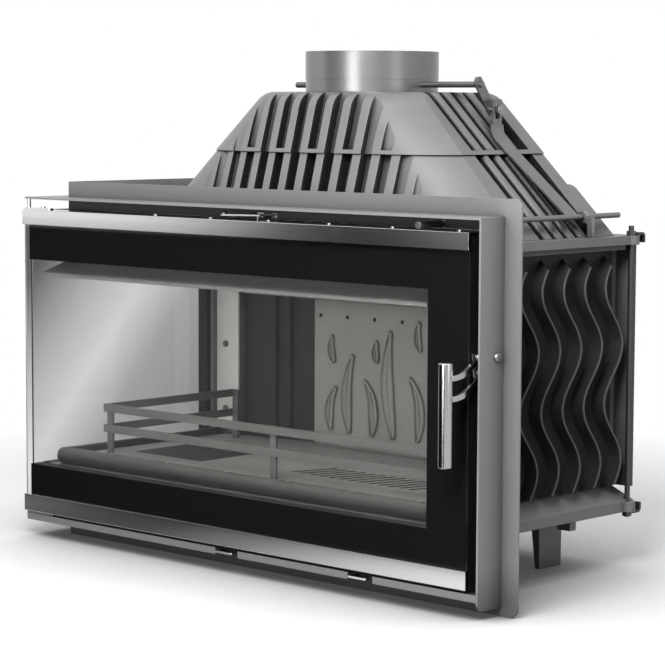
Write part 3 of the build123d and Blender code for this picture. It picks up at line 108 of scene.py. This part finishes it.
def paintedCasting(name, s):
    # iron or sheet under a thin coat of stove paint: the surface's grain and its slow swells as bump, edges a
    # little rounded, patches of two near greys, and painted shade that darkens hollows the deeper they are
    material, tree = newMaterial(name)
    at = addNode(tree, "ShaderNodeTexCoord").outputs["Object"]
    grain = addNode(tree, "ShaderNodeTexNoise",
                    {"Scale": 1000 / s["grain"], "Detail": 3.0, "Roughness": 0.6}, {"Vector": at})
    swell = addNode(tree, "ShaderNodeTexNoise", {"Scale": 1000 / s["swell"], "Detail": 2.0}, {"Vector": at})
    patch = addNode(tree, "ShaderNodeTexNoise",
                    {"Scale": 1000 / s["patch"], "Detail": 4.0, "Roughness": 0.65}, {"Vector": at})
    tone = addNode(tree, "ShaderNodeMix", {"data_type": "RGBA", 6: paint(s["dark"]), 7: paint(s["light"])},
                   {0: patch.outputs["Fac"]})
    # painted shade: ambient occlusion darkens the colour in hollows, creases and corners
    hollow = addNode(tree, "ShaderNodeAmbientOcclusion", {"Distance": s["shadeReach"], "samples": 6})
    depth = addNode(tree, "ShaderNodeMapRange", {1: s["shadeFrom"], 2: s["shadeTo"], 3: s["shade"], 4: 1.0},
                    {0: hollow.outputs["AO"]})
    shaded = addNode(tree, "ShaderNodeVectorMath", {"operation": "SCALE"},
                     {0: tone.outputs[2], "Scale": depth.outputs[0]})
    rounded = addNode(tree, "ShaderNodeBevel", {"samples": 4, "Radius": s["edge"]})
    soft = addNode(tree, "ShaderNodeBump", {"Strength": 1.0, "Distance": s["swellDepth"]},
                   {"Height": swell.outputs["Fac"], "Normal": rounded.outputs["Normal"]})
    fine = addNode(tree, "ShaderNodeBump", {"Strength": 1.0, "Distance": s["grainDepth"]},
                   {"Height": grain.outputs["Fac"], "Normal": soft.outputs["Normal"]})
    matt = addNode(tree, "ShaderNodeMapRange",
                   {1: 0.3, 2: 0.7, 3: s["rough"] - s["mottle"], 4: s["rough"] + s["mottle"]},
                   {0: grain.outputs["Fac"]})
    skin = addNode(tree, "ShaderNodeBsdfPrincipled",
                   {"Metallic": s["metal"], "Specular IOR Level": s["gloss"]},
                   {"Base Color": shaded.outputs[0], "Roughness": matt.outputs[0],
                    "Normal": fine.outputs["Normal"]})
    addNode(tree, "ShaderNodeOutputMaterial", {}, {"Surface": skin.outputs[0]})
    return material


def overPaint(material, colour, level):
    # lays a second colour over a casting's own: all of it where level is 0, none of it where level is 1
    tree = material.node_tree
    skin = next(n for n in tree.nodes if n.type == "BSDF_PRINCIPLED")
    own = skin.inputs["Base Color"].links[0].from_socket
    both = addNode(tree, "ShaderNodeMix", {"data_type": "RGBA", 6: paint(colour)}, {0: level, 7: own})
    tree.links.new(both.outputs[2], skin.inputs["Base Color"])
    return material


castSettings = {
    "grain": 1.3, "swell": 22.0, "patch": 90.0,    # widths in mm: mould sand, slow waves, patches of tone
    "dark": "#7f7f7f", "light": "#939393",
    "shadeReach": 0.045,                           # metres within which a neighbour darkens a hollow with painted shade
    "shadeFrom": 0.25, "shadeTo": 0.82, "shade": 0.12,
    "edge": 0.0016, "swellDepth": 0.0004, "grainDepth": 0.00012,    # metres
    "rough": 0.42, "mottle": 0.06, "metal": 0.35, "gloss": 0.4,
}
# bare iron of the hearth has no paint, so it is rougher and hardly mirrors
bareSettings = {**castSettings, "dark": "#858482", "light": "#9a9997", "metal": 0.1, "rough": 0.55}
# rolled sheet and bar are smoother than sand castings: finer grain and no swells that the eye finds
rolledSettings = {**castSettings, "grain": 0.6, "swell": 160.0, "swellDepth": 0.0001, "grainDepth": 0.00003}

# satin grey with the faint pebbling of the sand
castGrey = paintedCasting("Stove paint on sand-cast iron", castSettings)
# the same on the hood, with painted shade that turns its narrow slots nearly black
castDome = paintedCasting("Stove paint on the ribbed hood's sand-cast iron",
                          {**castSettings, "dark": "#7c7c7c", "light": "#8e8e8e", "shadeReach": 0.035,
                           "shadeFrom": 0.5, "shadeTo": 0.96, "shade": 0.05, "metal": 0.2, "edge": 0.002})
# dull grey plate, with painted shade along its joints
castHearth = paintedCasting("Bare sand-cast hearth iron",
                            {**bareSettings, "shadeReach": 0.02, "shadeFrom": 0.3, "shadeTo": 0.75,
                             "shade": 0.05})
# near-black threshold with a soft sheen
castSill = paintedCasting("Blackened sand-cast threshold iron",
                          {**bareSettings, "dark": "#444342", "light": "#545352", "rough": 0.5,
                           "grainDepth": 0.00005})
# dark and matt, the quietest surface inside the firebox
castLining = paintedCasting("Dark lining iron as cast",
                            {**bareSettings, "dark": "#242323", "light": "#302f2f", "rough": 0.6})
# near-black openings in the floor: partly soot, and partly painted shade where the ash pan lies under the grate
hatchSootAndShade = paintedCasting("Sooty cast iron of the flue hatch and ash pan",
                           {**bareSettings, "dark": "#222221", "light": "#2c2b2b", "rough": 0.6, "shade": 0.5})
# pale and even, catching the light along its front rise
baffleIron = paintedCasting("Sand-cast baffle iron, greyed by heat",
                            {**bareSettings, "dark": "#a3a2a1", "light": "#b0afae", "shade": 0.4})
# the lightest iron inside, a warm grey behind the relief
castBack = paintedCasting("Pale heat-proof paint on cast iron",
                          {**castSettings, "grain": 2.0, "dark": "#8f8d8b", "light": "#a3a19f", "metal": 0.15})
# flat satin grey of the surround, with painted shade that grades it darker beside the flange that stands next to
# it
sheetGrey = paintedCasting("Stove paint on folded steel sheet",
                           {**rolledSettings, "patch": 260.0, "dark": "#9a9a9a", "light": "#a4a4a4",
                            "shade": 0.12, "shadeReach": 0.08, "shadeTo": 0.96, "edge": 0.0005,
                            "swellDepth": 0.0003})
# the collar mirrors the lamp as one long upright streak
collarSteel = paintedCasting("Stove paint on rolled steel tube",
                             {**rolledSettings, "grain": 0.8, "patch": 260.0, "dark": "#7b7b7b",
                              "light": "#818181", "shade": 1.0, "shadeReach": 0.01, "edge": 0.0002,
                              "rough": 0.3, "metal": 0.6})
# deep black without a highlight
railBlack = paintedCasting("Black stove enamel on steel rails",
                           {**rolledSettings, "grain": 0.5, "dark": "#191919", "light": "#1c1c1c",
                            "shade": 0.8, "edge": 0.0004, "grainDepth": 0.00002, "rough": 0.6,
                            "metal": 0.0, "gloss": 0.2})
# mid grey bars with a light line along their edges
guardGrey = paintedCasting("Grey stove paint on drawn flat bar",
                           {**rolledSettings, "dark": "#5b5a59", "light": "#676665", "shade": 0.7,
                            "edge": 0.0006})


def wallIron(name, s):
    # the same paint, with painted shade in a dark grey on the plate between the fins, and grey on their outer
    # edges, on the rims and on the plate above and beside the fins
    material = paintedCasting(name, s)
    tree = material.node_tree
    at = addNode(tree, "ShaderNodeTexCoord").outputs["Object"]
    split = addNode(tree, "ShaderNodeSeparateXYZ", {}, {0: at})
    borders = [(s["axis"], s["face"] - s["fade"], s["face"]),
               (2, s["top"] - s["fade"], s["top"] + s["fade"]),
               (1 - s["axis"], s["last"], s["last"] + 4 * s["fade"])]
    level = None
    for way, dark, grey in borders:
        part = addNode(tree, "ShaderNodeMapRange", {1: dark, 2: grey}, {0: split.outputs[way]}).outputs[0]
        if level is not None:
            part = addNode(tree, "ShaderNodeMath", {"operation": "MAXIMUM"}, {0: level, 1: part}).outputs[0]
        level = part
    # painted shade: the dark grey goes on the plate between the fins
    return overPaint(material, s["deep"], level)


# the dark grey between the fins is painted shade
wallSettings = {
    **castSettings, "dark": "#707070", "light": "#7c7c7c", "deep": "#383838", "gloss": 0.15, "metal": 0.0,
    "shade": 0.6,
    "fade": 0.0015, "top": 0.468,    # metres: width of a border, height where the fins' field ends
}
# axis is the one that the wall faces along, face the place of the fins' edges on it, last the end of the fins
wallRight = wallIron("Stove paint on ribbed iron wall, right",
                     {**wallSettings, "axis": 0, "face": place(833.6, 0, 0)[0], "last": place(0, 425, 0)[1]})
wallRear = wallIron("Stove paint on ribbed iron wall, rear",
                    {**wallSettings, "axis": 1, "face": place(0, 458.6, 0)[1], "last": place(800, 0, 0)[0]})


def slottedIron(name, s):
    # the grate: bare on top, with painted shade in near black down the sides of its slots; the surface's own slope
    # tells them apart
    material = paintedCasting(name, s)
    tree = material.node_tree
    normal = addNode(tree, "ShaderNodeNewGeometry").outputs["Normal"]
    slope = addNode(tree, "ShaderNodeSeparateXYZ", {}, {0: normal})
    top = addNode(tree, "ShaderNodeMapRange", {1: s["side"], 2: s["top"]}, {0: slope.outputs[2]})
    return overPaint(material, s["slotShade"], top.outputs[0])


# painted shade: the steep sides of the slots turn near black
grateIron = slottedIron("Sand-cast grate iron with painted shade in its slots",
                        {**bareSettings, "slotShade": "#090909", "side": 0.5, "top": 0.8})


def brushedSteel(name, s):
    # steel with fine lines along it, from a belt or a roll, that draw each highlight out across them
    material, tree = newMaterial(name)
    at = addNode(tree, "ShaderNodeTexCoord").outputs["Object"]
    drawn = addNode(tree, "ShaderNodeMapping", {"Scale": s["stretch"]}, {"Vector": at})
    lines = addNode(tree, "ShaderNodeTexNoise", {"Scale": 1.0, "Detail": 4.0, "Roughness": 0.7},
                    {"Vector": drawn.outputs[0]})
    tone = addNode(tree, "ShaderNodeMix", {"data_type": "RGBA", 6: paint(s["dark"]), 7: paint(s["light"])},
                   {0: lines.outputs["Fac"]})
    matt = addNode(tree, "ShaderNodeMapRange",
                   {1: 0.3, 2: 0.7, 3: s["rough"] - s["mottle"], 4: s["rough"] + s["mottle"]},
                   {0: lines.outputs["Fac"]})
    rounded = addNode(tree, "ShaderNodeBevel", {"samples": 4, "Radius": s["edge"]})
    fine = addNode(tree, "ShaderNodeBump", {"Strength": 1.0, "Distance": s["depth"]},
                   {"Height": lines.outputs["Fac"], "Normal": rounded.outputs["Normal"]})
    skin = addNode(tree, "ShaderNodeBsdfPrincipled", {"Metallic": s["metal"]},
                   {"Base Color": tone.outputs[2], "Roughness": matt.outputs[0],
                    "Normal": fine.outputs["Normal"]})
    addNode(tree, "ShaderNodeOutputMaterial", {}, {"Surface": skin.outputs[0]})
    return material


steelSettings = {
    "stretch": (5, 2200, 2200),    # lines per metre along X, Y and Z: few along the strip, many across it
    "dark": "#c8c8c7", "light": "#dcdcdb", "rough": 0.13, "mottle": 0.05, "metal": 1.0,
    "edge": 0.0005, "depth": 0.000003,    # metres
}
# bright strips that mirror the studio softly, with hairlines along them
doorSteel = brushedSteel("Stainless strip brushed along the door", steelSettings)
sideSteel = brushedSteel("Stainless strip brushed along the side",
                         {**steelSettings, "stretch": (2200, 5, 2200)})
# pale upright strip, dulled by heat
plateSteel = brushedSteel("Steel strip rolled upright",
                          {**steelSettings, "stretch": (1500, 1500, 6), "dark": "#c4c2c0",
                           "light": "#d2d0ce", "rough": 0.4, "metal": 0.1})
# near-mirror tube with light and dark stripes along it
tubeSteel = brushedSteel("Polished stainless tube",
                         {**steelSettings, "stretch": (700, 700, 8), "dark": "#cfcfcf", "light": "#dedede"})
# dark, slightly oily rod
rodSteel = brushedSteel("Rolled steel rod, oiled and dark",
                        {**steelSettings, "stretch": (700, 700, 60), "dark": "#4a4a4a", "light": "#5c5c5c",
                         "rough": 0.4, "metal": 0.8})
# small bright heads with a soft highlight
zincSteel = brushedSteel("Zinc-plated turned steel",
                         {**steelSettings, "stretch": (700, 700, 700), "dark": "#8f8f8d",
                          "light": "#adadaa", "rough": 0.3})
# grey bars and levers, faintly metallic
barSteel = brushedSteel("Drawn steel bar in stove paint",
                        {**steelSettings, "stretch": (500, 60, 500), "dark": "#787878", "light": "#8a8a8a",
                         "rough": 0.45})


def clearPane(name, s):
    # clear ceramic glass; light that only casts shadows goes straight through it
    material, tree = newMaterial(name)
    tint = paint(s["tint"])
    glass = addNode(tree, "ShaderNodeBsdfPrincipled",
                    {"Base Color": tint, "Roughness": 0.0, "IOR": s["ior"], "Transmission Weight": 1.0})
    clear = addNode(tree, "ShaderNodeBsdfTransparent", {"Color": tint})
    ray = addNode(tree, "ShaderNodeLightPath")
    both = addNode(tree, "ShaderNodeMixShader", {},
                   {0: ray.outputs["Is Shadow Ray"], 1: glass.outputs[0], 2: clear.outputs[0]})
    addNode(tree, "ShaderNodeOutputMaterial", {}, {"Surface": both.outputs[0]})
    return material


paneGlass = clearPane("Clear ceramic glass", {"tint": "#f2f2f1", "ior": 1.47})


def ropeFibre(name, s):
    # braided glass-fibre rope: small crossing strands with painted shade in the gaps between them, and no
    # highlight
    material, tree = newMaterial(name)
    at = addNode(tree, "ShaderNodeTexCoord").outputs["Object"]
    braid = addNode(tree, "ShaderNodeTexVoronoi", {"Scale": 1000 / s["strand"]}, {"Vector": at})
    # painted shade: the colour darkens towards the gaps between the strands
    tone = addNode(tree, "ShaderNodeMix", {"data_type": "RGBA", 6: paint(s["light"]), 7: paint(s["dark"])},
                   {0: braid.outputs["Distance"]})
    fine = addNode(tree, "ShaderNodeBump", {"Strength": 1.0, "Distance": s["depth"], "invert": True},
                   {"Height": braid.outputs["Distance"]})
    skin = addNode(tree, "ShaderNodeBsdfPrincipled", {"Roughness": s["rough"], "Sheen Weight": s["sheen"]},
                   {"Base Color": tone.outputs[2], "Normal": fine.outputs["Normal"]})
    addNode(tree, "ShaderNodeOutputMaterial", {}, {"Surface": skin.outputs[0]})
    return material


# strand is a width in mm, depth is in metres
sealRope = ropeFibre("Braided glass-fibre rope", {"strand": 2.4, "dark": "#2a2a29", "light": "#4b4a48",
                                                  "depth": 0.0007, "rough": 0.9, "sheen": 0.3})

finish = {
    sheetGrey: ["frame_top", "frame_bottom", "frame_right_leg", "frame_rear_leg", "feet", "rod_guide"],
    collarSteel: ["flue_collar"],
    castGrey: ["front_casting", "base_casting", "left_post"],
    castDome: ["lid_plate", "dome_lower", "dome_upper"],
    castHearth: ["hearth_floor"],
    grateIron: ["grate"],
    castSill: ["hearth_sill", "side_sill"],
    castLining: ["left_lining", "right_lining", "damper_blade", "air_shutter"],
    hatchSootAndShade: ["hatch_cover", "ash_pan"],
    castBack: ["fireback"],
    baffleIron: ["baffle_plate", "baffle_lug"],
    railBlack: ["door_frame", "side_frame"],
    guardGrey: ["log_guard"],
    wallRight: ["right_wall"],
    wallRear: ["rear_wall"],
    doorSteel: ["door_trim_top", "door_trim_bottom", "door_hinges"],
    sideSteel: ["side_trim_top", "side_trim_bottom"],
    plateSteel: ["side_plate"],
    tubeSteel: ["door_handle", "air_slide_left", "air_slide_right"],
    zincSteel: ["door_screws", "handle_bolts", "cheek_screw", "sill_studs", "lever_bolt"],
    barSteel: ["damper_shaft", "damper_lever", "link_bar", "pull_rod", "rod_knob", "air_lever"],
    rodSteel: ["tie_rods", "tie_nuts", "clamp_hooks", "plate_screws"],
    paneGlass: ["door_glass", "side_glass"],
    sealRope: ["door_gasket"],
}
for material, names in finish.items():
    for name in names:
        for slot in nodes[name].material_slots:
            slot.material = material
print("materials on", sum(len(names) for names in finish.values()), "nodes")


def meshPiece(name, points, faces, material, body):
    mesh = bpy.data.meshes.new(name)
    mesh.from_pydata(points.tolist(), [], faces.tolist())
    mesh.polygons.foreach_set("use_smooth", np.ones(len(mesh.polygons), bool))
    mesh.materials.append(material)
    piece = bpy.data.objects.new(name, mesh)
    bpy.context.scene.collection.objects.link(piece)
    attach(piece, body)
    return piece


leafSettings = {
    # foot x, foot z, length, lean in degrees, curl in degrees, half width; all on the fireback's left half, in mm
    "leaves": [(284, 154, 74, -14, 62, 8), (324, 152, 128, -12, 40, 10), (372, 152, 92, 12, -56, 9),
               (418, 152, 170, -14, 30, 12), (468, 152, 104, 12, -54, 9), (292, 262, 46, -30, 66, 6),
               (384, 268, 36, -24, 62, 6), (474, 292, 48, -26, 60, 6)],
    "rim": 2.6, "vein": 1.4, "height": 5.0,    # mm: half width of the edge bead and of the middle one, relief
    "ends": 0.02,                              # share of the length left off at foot and tip
    "bend": 1.4, "belly": 0.8,                 # powers that shape the curl and the outline
    "veinShare": 0.7, "bladeShare": 0.12,      # heights of the middle bead and of the blade, as shares
    "sunk": 0.0004,                            # metres that the back lies inside the plate
    "along": 56, "across": 33,                 # points of the grid
}


def leafSheet(leaf, s):
    # u runs from foot to tip and v from edge to edge. The centre line's heading is lean + curl * u ^ bend, and the
    # half width is w * sin(pi * u ^ belly) ^ belly + rim. The height is the largest of a half-round bead along
    # each edge, a lower one along the middle that thins out at both ends, and the flat blade between them.
    x, z, length, lean, curl, width = leaf
    u = np.linspace(s["ends"], 1 - s["ends"], s["along"])
    v = np.linspace(-1, 1, s["across"])
    heading = np.radians(lean + curl * u ** s["bend"])
    step = length / (len(u) - 1)
    centreX = x + np.concatenate([[0], np.cumsum(np.sin(heading[:-1]))]) * step
    centreZ = z + np.concatenate([[0], np.cumsum(np.cos(heading[:-1]))]) * step
    half = width * np.sin(np.pi * u ** s["belly"]) ** s["belly"] + s["rim"]
    away = half[:, None] * v
    edge = (half[:, None] - np.abs(away) - s["rim"]) / s["rim"]
    bead = np.sqrt(np.clip(1 - edge ** 2, 0, 1))
    vein = np.sqrt(np.clip(1 - (away / s["vein"]) ** 2, 0, 1)) * np.sin(np.pi * u)[:, None]
    out = s["height"] * np.maximum(np.maximum(bead, s["veinShare"] * vein), s["bladeShare"] * (edge > 0))
    px = centreX[:, None] - away * np.cos(heading)[:, None]
    pz = centreZ[:, None] + away * np.sin(heading)[:, None]
    return px, pz, out


def sheetFaces(rows, columns):
    # closed skin of two grids, front and back, sewn round their rim
    i, j = np.meshgrid(np.arange(rows - 1), np.arange(columns - 1), indexing="ij")
    first = i * columns + j
    front = np.stack([first, first + columns, first + columns + 1, first + 1], -1).reshape(-1, 4)
    back = front[:, ::-1] + rows * columns
    grid = np.arange(rows * columns).reshape(rows, columns)
    rim = np.concatenate([grid[0, :], grid[1:, -1], grid[-1, -2::-1], grid[-2:0:-1, 0]])
    after = np.roll(rim, -1)
    sides = np.stack([rim, after, after + rows * columns, rim + rows * columns], -1)
    return np.concatenate([front, back, sides])


def leafRelief(s):
    # low leaf sprays cast on the plate, drawn on its left half and mirrored about its middle
    low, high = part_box("fireback")
    middle = (low[0] + high[0]) / 2
    plate = low[1]
    faces = sheetFaces(s["along"], s["across"])
    allPoints, allFaces, count = [], [], 0
    for leaf in s["leaves"]:
        px, pz, out = leafSheet(leaf, s)
        front = np.stack([px / 1000 + corner[0], plate - out / 1000, pz / 1000], -1).reshape(-1, 3)
        back = front.copy()
        back[:, 1] = plate + s["sunk"]
        points = np.concatenate([front, back])
        for side in (1, -1):
            copy = points.copy()
            copy[:, 0] = middle + side * (points[:, 0] - middle)
            allPoints.append(copy)
            allFaces.append((faces if side == 1 else faces[:, ::-1]) + count)
            count += len(points)
    return meshPiece("firebackLeaves", np.concatenate(allPoints), np.concatenate(allFaces), castBack, "insert")


relief = leafRelief(leafSettings)
print("fireback relief made")


def stagePlane(name, corners, material, seenBy=None):
    # a flat sheet of the studio; seenBy lists the kinds of ray that notice it, and without it every kind does
    mesh = bpy.data.meshes.new(name)
    mesh.from_pydata(corners, [], [tuple(range(len(corners)))])
    mesh.materials.append(material)
    thing = bpy.data.objects.new(name, mesh)
    bpy.context.scene.collection.objects.link(thing)
    if seenBy is not None:
        for kind in ("camera", "diffuse", "glossy", "transmission", "volume_scatter", "shadow"):
            setattr(thing, "visible_" + kind, kind in seenBy)
    return thing


floorSettings = {
    "reach": 14.0, "level": -0.0005,    # metres from the middle to a side, and height
    "colour": "#dadada",                # where the camera looks at it
    "bounce": "#8c8c8c",                # where only the other light does
    "lift": 0.52,                       # added light, for the camera alone
    "shadeReach": 0.4, "shadeFrom": 0.25, "shadeTo": 0.94, "shade": 0.12,    # the contact shadow
    "near": 0.75, "far": 1.5,           # metres between which the floor turns white
    "mirrored": 0.5,                    # how much of the pale floor the polished parts see
}


def paleFloor(s):
    # plain matt floor that keeps the shadow; light is added where the camera looks straight at it, and further out
    # it runs into the white
    material, tree = newMaterial("Pale studio floor")
    hollow = addNode(tree, "ShaderNodeAmbientOcclusion", {"Distance": s["shadeReach"], "samples": 8})
    depth = addNode(tree, "ShaderNodeMapRange", {1: s["shadeFrom"], 2: s["shadeTo"], 3: s["shade"], 4: 1.0},
                    {0: hollow.outputs["AO"]})
    tone = addNode(tree, "ShaderNodeVectorMath", {"operation": "SCALE", 0: paint(s["colour"])[:3]},
                   {"Scale": depth.outputs[0]})
    matt = addNode(tree, "ShaderNodeBsdfDiffuse", {}, {"Color": tone.outputs[0]})
    level = addNode(tree, "ShaderNodeMath", {"operation": "MULTIPLY", 1: s["lift"]}, {0: depth.outputs[0]})
    glow = addNode(tree, "ShaderNodeEmission", {"Color": (1, 1, 1, 1)}, {"Strength": level.outputs[0]})
    lit = addNode(tree, "ShaderNodeAddShader", {}, {0: matt.outputs[0], 1: glow.outputs[0]})
    white = addNode(tree, "ShaderNodeEmission", {"Color": (1, 1, 1, 1), "Strength": 1.0})
    at = addNode(tree, "ShaderNodeTexCoord").outputs["Object"]
    away = addNode(tree, "ShaderNodeVectorMath", {"operation": "LENGTH"}, {0: at})
    far = addNode(tree, "ShaderNodeMapRange", {1: s["near"], 2: s["far"]}, {0: away.outputs["Value"]})
    seen = addNode(tree, "ShaderNodeMixShader", {}, {0: far.outputs[0], 1: lit.outputs[0], 2: white.outputs[0]})
    bounce = addNode(tree, "ShaderNodeBsdfDiffuse", {"Color": paint(s["bounce"])})
    ray = addNode(tree, "ShaderNodeLightPath")
    mirrored = addNode(tree, "ShaderNodeMath", {"operation": "MULTIPLY", 1: s["mirrored"]},
                       {0: ray.outputs["Is Glossy Ray"]})
    looked = addNode(tree, "ShaderNodeMath", {"operation": "MAXIMUM"},
                     {0: ray.outputs["Is Camera Ray"], 1: mirrored.outputs[0]})
    both = addNode(tree, "ShaderNodeMixShader", {},
                   {0: looked.outputs[0], 1: bounce.outputs[0], 2: seen.outputs[0]})
    addNode(tree, "ShaderNodeOutputMaterial", {}, {"Surface": both.outputs[0]})
    r, z = s["reach"], s["level"]
    return stagePlane("studioFloor", [(-r, -r, z), (r, -r, z), (r, r, z), (-r, r, z)], material)


paleFloor(floorSettings)

worldSettings = {"fill": 0.14, "seen": 1.0}


def paleWorld(s):
    # even fill light, with plain white behind whatever looks straight at it, mirrors it or looks through the glass
    world = bpy.data.worlds.new("Pale studio")
    bpy.context.scene.world = world
    world.use_nodes = True
    tree = world.node_tree
    tree.nodes.clear()
    ray = addNode(tree, "ShaderNodeLightPath")
    first = addNode(tree, "ShaderNodeMath", {"operation": "MAXIMUM"},
                    {0: ray.outputs["Is Camera Ray"], 1: ray.outputs["Is Glossy Ray"]})
    second = addNode(tree, "ShaderNodeMath", {"operation": "MAXIMUM"},
                     {0: first.outputs[0], 1: ray.outputs["Is Transmission Ray"]})
    strength = addNode(tree, "ShaderNodeMapRange", {3: s["fill"], 4: s["seen"]}, {0: second.outputs[0]})
    light = addNode(tree, "ShaderNodeBackground", {"Color": (1, 1, 1, 1)}, {"Strength": strength.outputs[0]})
    addNode(tree, "ShaderNodeOutputWorld", {}, {"Surface": light.outputs[0]})


paleWorld(worldSettings)

lampSettings = {
    # metres and watts; the first is nearest and makes the shape, the second reaches into the firebox
    "softKey": {"at": (0.85, -1.4, 1.6), "aim": (0.0, 0.0, 0.4), "size": 0.9, "power": 44.0},
    "softFront": {"at": (0.5, -3.0, 0.5), "aim": (0.1, 0.0, 0.3), "size": 0.9, "power": 30.0},
    "softLeft": {"at": (-3.0, -1.6, 1.6), "aim": (0.0, 0.0, 0.3), "size": 1.8, "power": 5.0},
    "softRight": {"at": (2.6, -0.2, 0.5), "aim": (0.2, 0.1, 0.2), "size": 0.8, "power": 4.0},
}


def addLamp(name, s):
    lamp = bpy.data.lights.new(name, "AREA")
    lamp.size = s["size"]
    lamp.energy = s["power"]
    holder = bpy.data.objects.new(name, lamp)
    bpy.context.scene.collection.objects.link(holder)
    turn = (Vector(s["at"]) - Vector(s["aim"])).to_track_quat("Z", "Y")
    holder.matrix_world = Matrix.Translation(s["at"]) @ turn.to_matrix().to_4x4()


for name, s in lampSettings.items():
    addLamp(name, s)


def shadedCard(name, s, seenBy):
    # studio card whose grey changes along one direction; where it has a second run of greys, across it, the two
    # are multiplied; stops are pairs of place and brightness
    material, tree = newMaterial(name)
    at = addNode(tree, "ShaderNodeTexCoord").outputs["Object"]
    shade = None
    for way, stops in ((way, s[run]) for way, run in (("along", "stops"), ("across", "fade")) if run in s):
        start, end = (Vector(p) for p in s[way])
        run = (end - start) / (end - start).length_squared
        offset = addNode(tree, "ShaderNodeVectorMath", {"operation": "SUBTRACT", 1: start}, {0: at})
        part = addNode(tree, "ShaderNodeVectorMath", {"operation": "DOT_PRODUCT", 1: run},
                       {0: offset.outputs[0]})
        ramp = addNode(tree, "ShaderNodeValToRGB", {}, {0: part.outputs["Value"]})
        for k, (where, level) in enumerate(stops):
            stop = ramp.color_ramp.elements[k] if k < 2 else ramp.color_ramp.elements.new(where)
            stop.position = where
            stop.color = (level, level, level, 1)
        grey = ramp.outputs[0]
        if shade is not None:
            grey = addNode(tree, "ShaderNodeVectorMath", {"operation": "MULTIPLY"},
                           {0: shade, 1: grey}).outputs[0]
        shade = grey
    glow = addNode(tree, "ShaderNodeEmission", {"Strength": 1.0}, {"Color": shade})
    addNode(tree, "ShaderNodeOutputMaterial", {}, {"Surface": glow.outputs[0]})
    return stagePlane(name, s["corners"], material, seenBy)


# the floor in front of the door as the lower steel strip mirrors it, dark further out where the glass mirrors it
lowCard = {
    "corners": [(-5.0, -3.0, 0.001), (0.95, -3.0, 0.001), (0.95, -0.30, 0.001), (-5.0, -0.30, 0.001)],
    "along": [(-0.709, 0, 0), (0.264, 0, 0)],
    "stops": [(0.0, 0.2), (0.14, 0.12), (0.26, 0.09), (0.37, 0.1), (0.57, 0.3), (0.73, 0.62), (0.86, 0.95),
              (1.0, 1.2)],
    "across": [(0, -0.30, 0), (0, -1.10, 0)],
    "fade": [(0.0, 1.0), (0.19, 1.0), (0.215, 0.01), (1.0, 0.01)],
}
shadedCard("lowCard", lowCard, ("glossy",))
# upright card across the room in the left front, for the upper strip, dark at its foot for the glass
highCard = {
    "corners": [(-5.0, -3.0, 0.0), (-0.6, -3.0, 0.0), (-0.6, -3.0, 2.4), (-5.0, -3.0, 2.4)],
    "along": [(-3.87, 0, 0), (-1.91, 0, 0)],
    "stops": [(0.0, 1.6), (0.30, 1.5), (0.48, 0.8), (0.62, 0.14), (0.78, 0.03), (0.87, 0.06), (1.0, 0.38)],
    "across": [(0, 0, 0.0), (0, 0, 1.6)],
    "fade": [(0.0, 0.01), (0.156, 0.01), (0.166, 1.0), (0.5, 1.0), (0.62, 0.3), (1.0, 0.25)],
}
shadedCard("highCard", highCard, ("glossy",))
# narrow dark board in front of the door's right end, for the dark stripe that a polished round bar has
barCard = {
    "corners": [(0.62, -1.2, 0.0), (0.86, -1.2, 0.0), (0.86, -1.2, 0.32), (0.62, -1.2, 0.32)],
    "along": [(0.62, 0, 0), (0.86, 0, 0)],
    "stops": [(0.0, 0.3), (0.2, 0.05), (0.8, 0.05), (1.0, 0.3)],
}
shadedCard("barCard", barCard, ("glossy",))
# grey board beside the left pane, seen only through the glass: dark at the top, brightest in a slanting band
paneCard = {
    "corners": [(-0.62, -0.30, 0.0), (-0.62, 0.50, 0.0), (-0.62, 0.50, 0.52), (-0.62, -0.30, 0.52)],
    "along": [(-0.62, -0.10, 0.46), (-0.62, 0.30, 0.12)],
    "stops": [(0.0, 0.11), (0.12, 0.14), (0.32, 0.6), (0.5, 0.92), (0.68, 0.5), (1.0, 0.34)],
}
shadedCard("paneCard", paneCard, ("transmission",))

bpy.context.scene.view_settings.view_transform = "Standard"
print("floor and lights set")
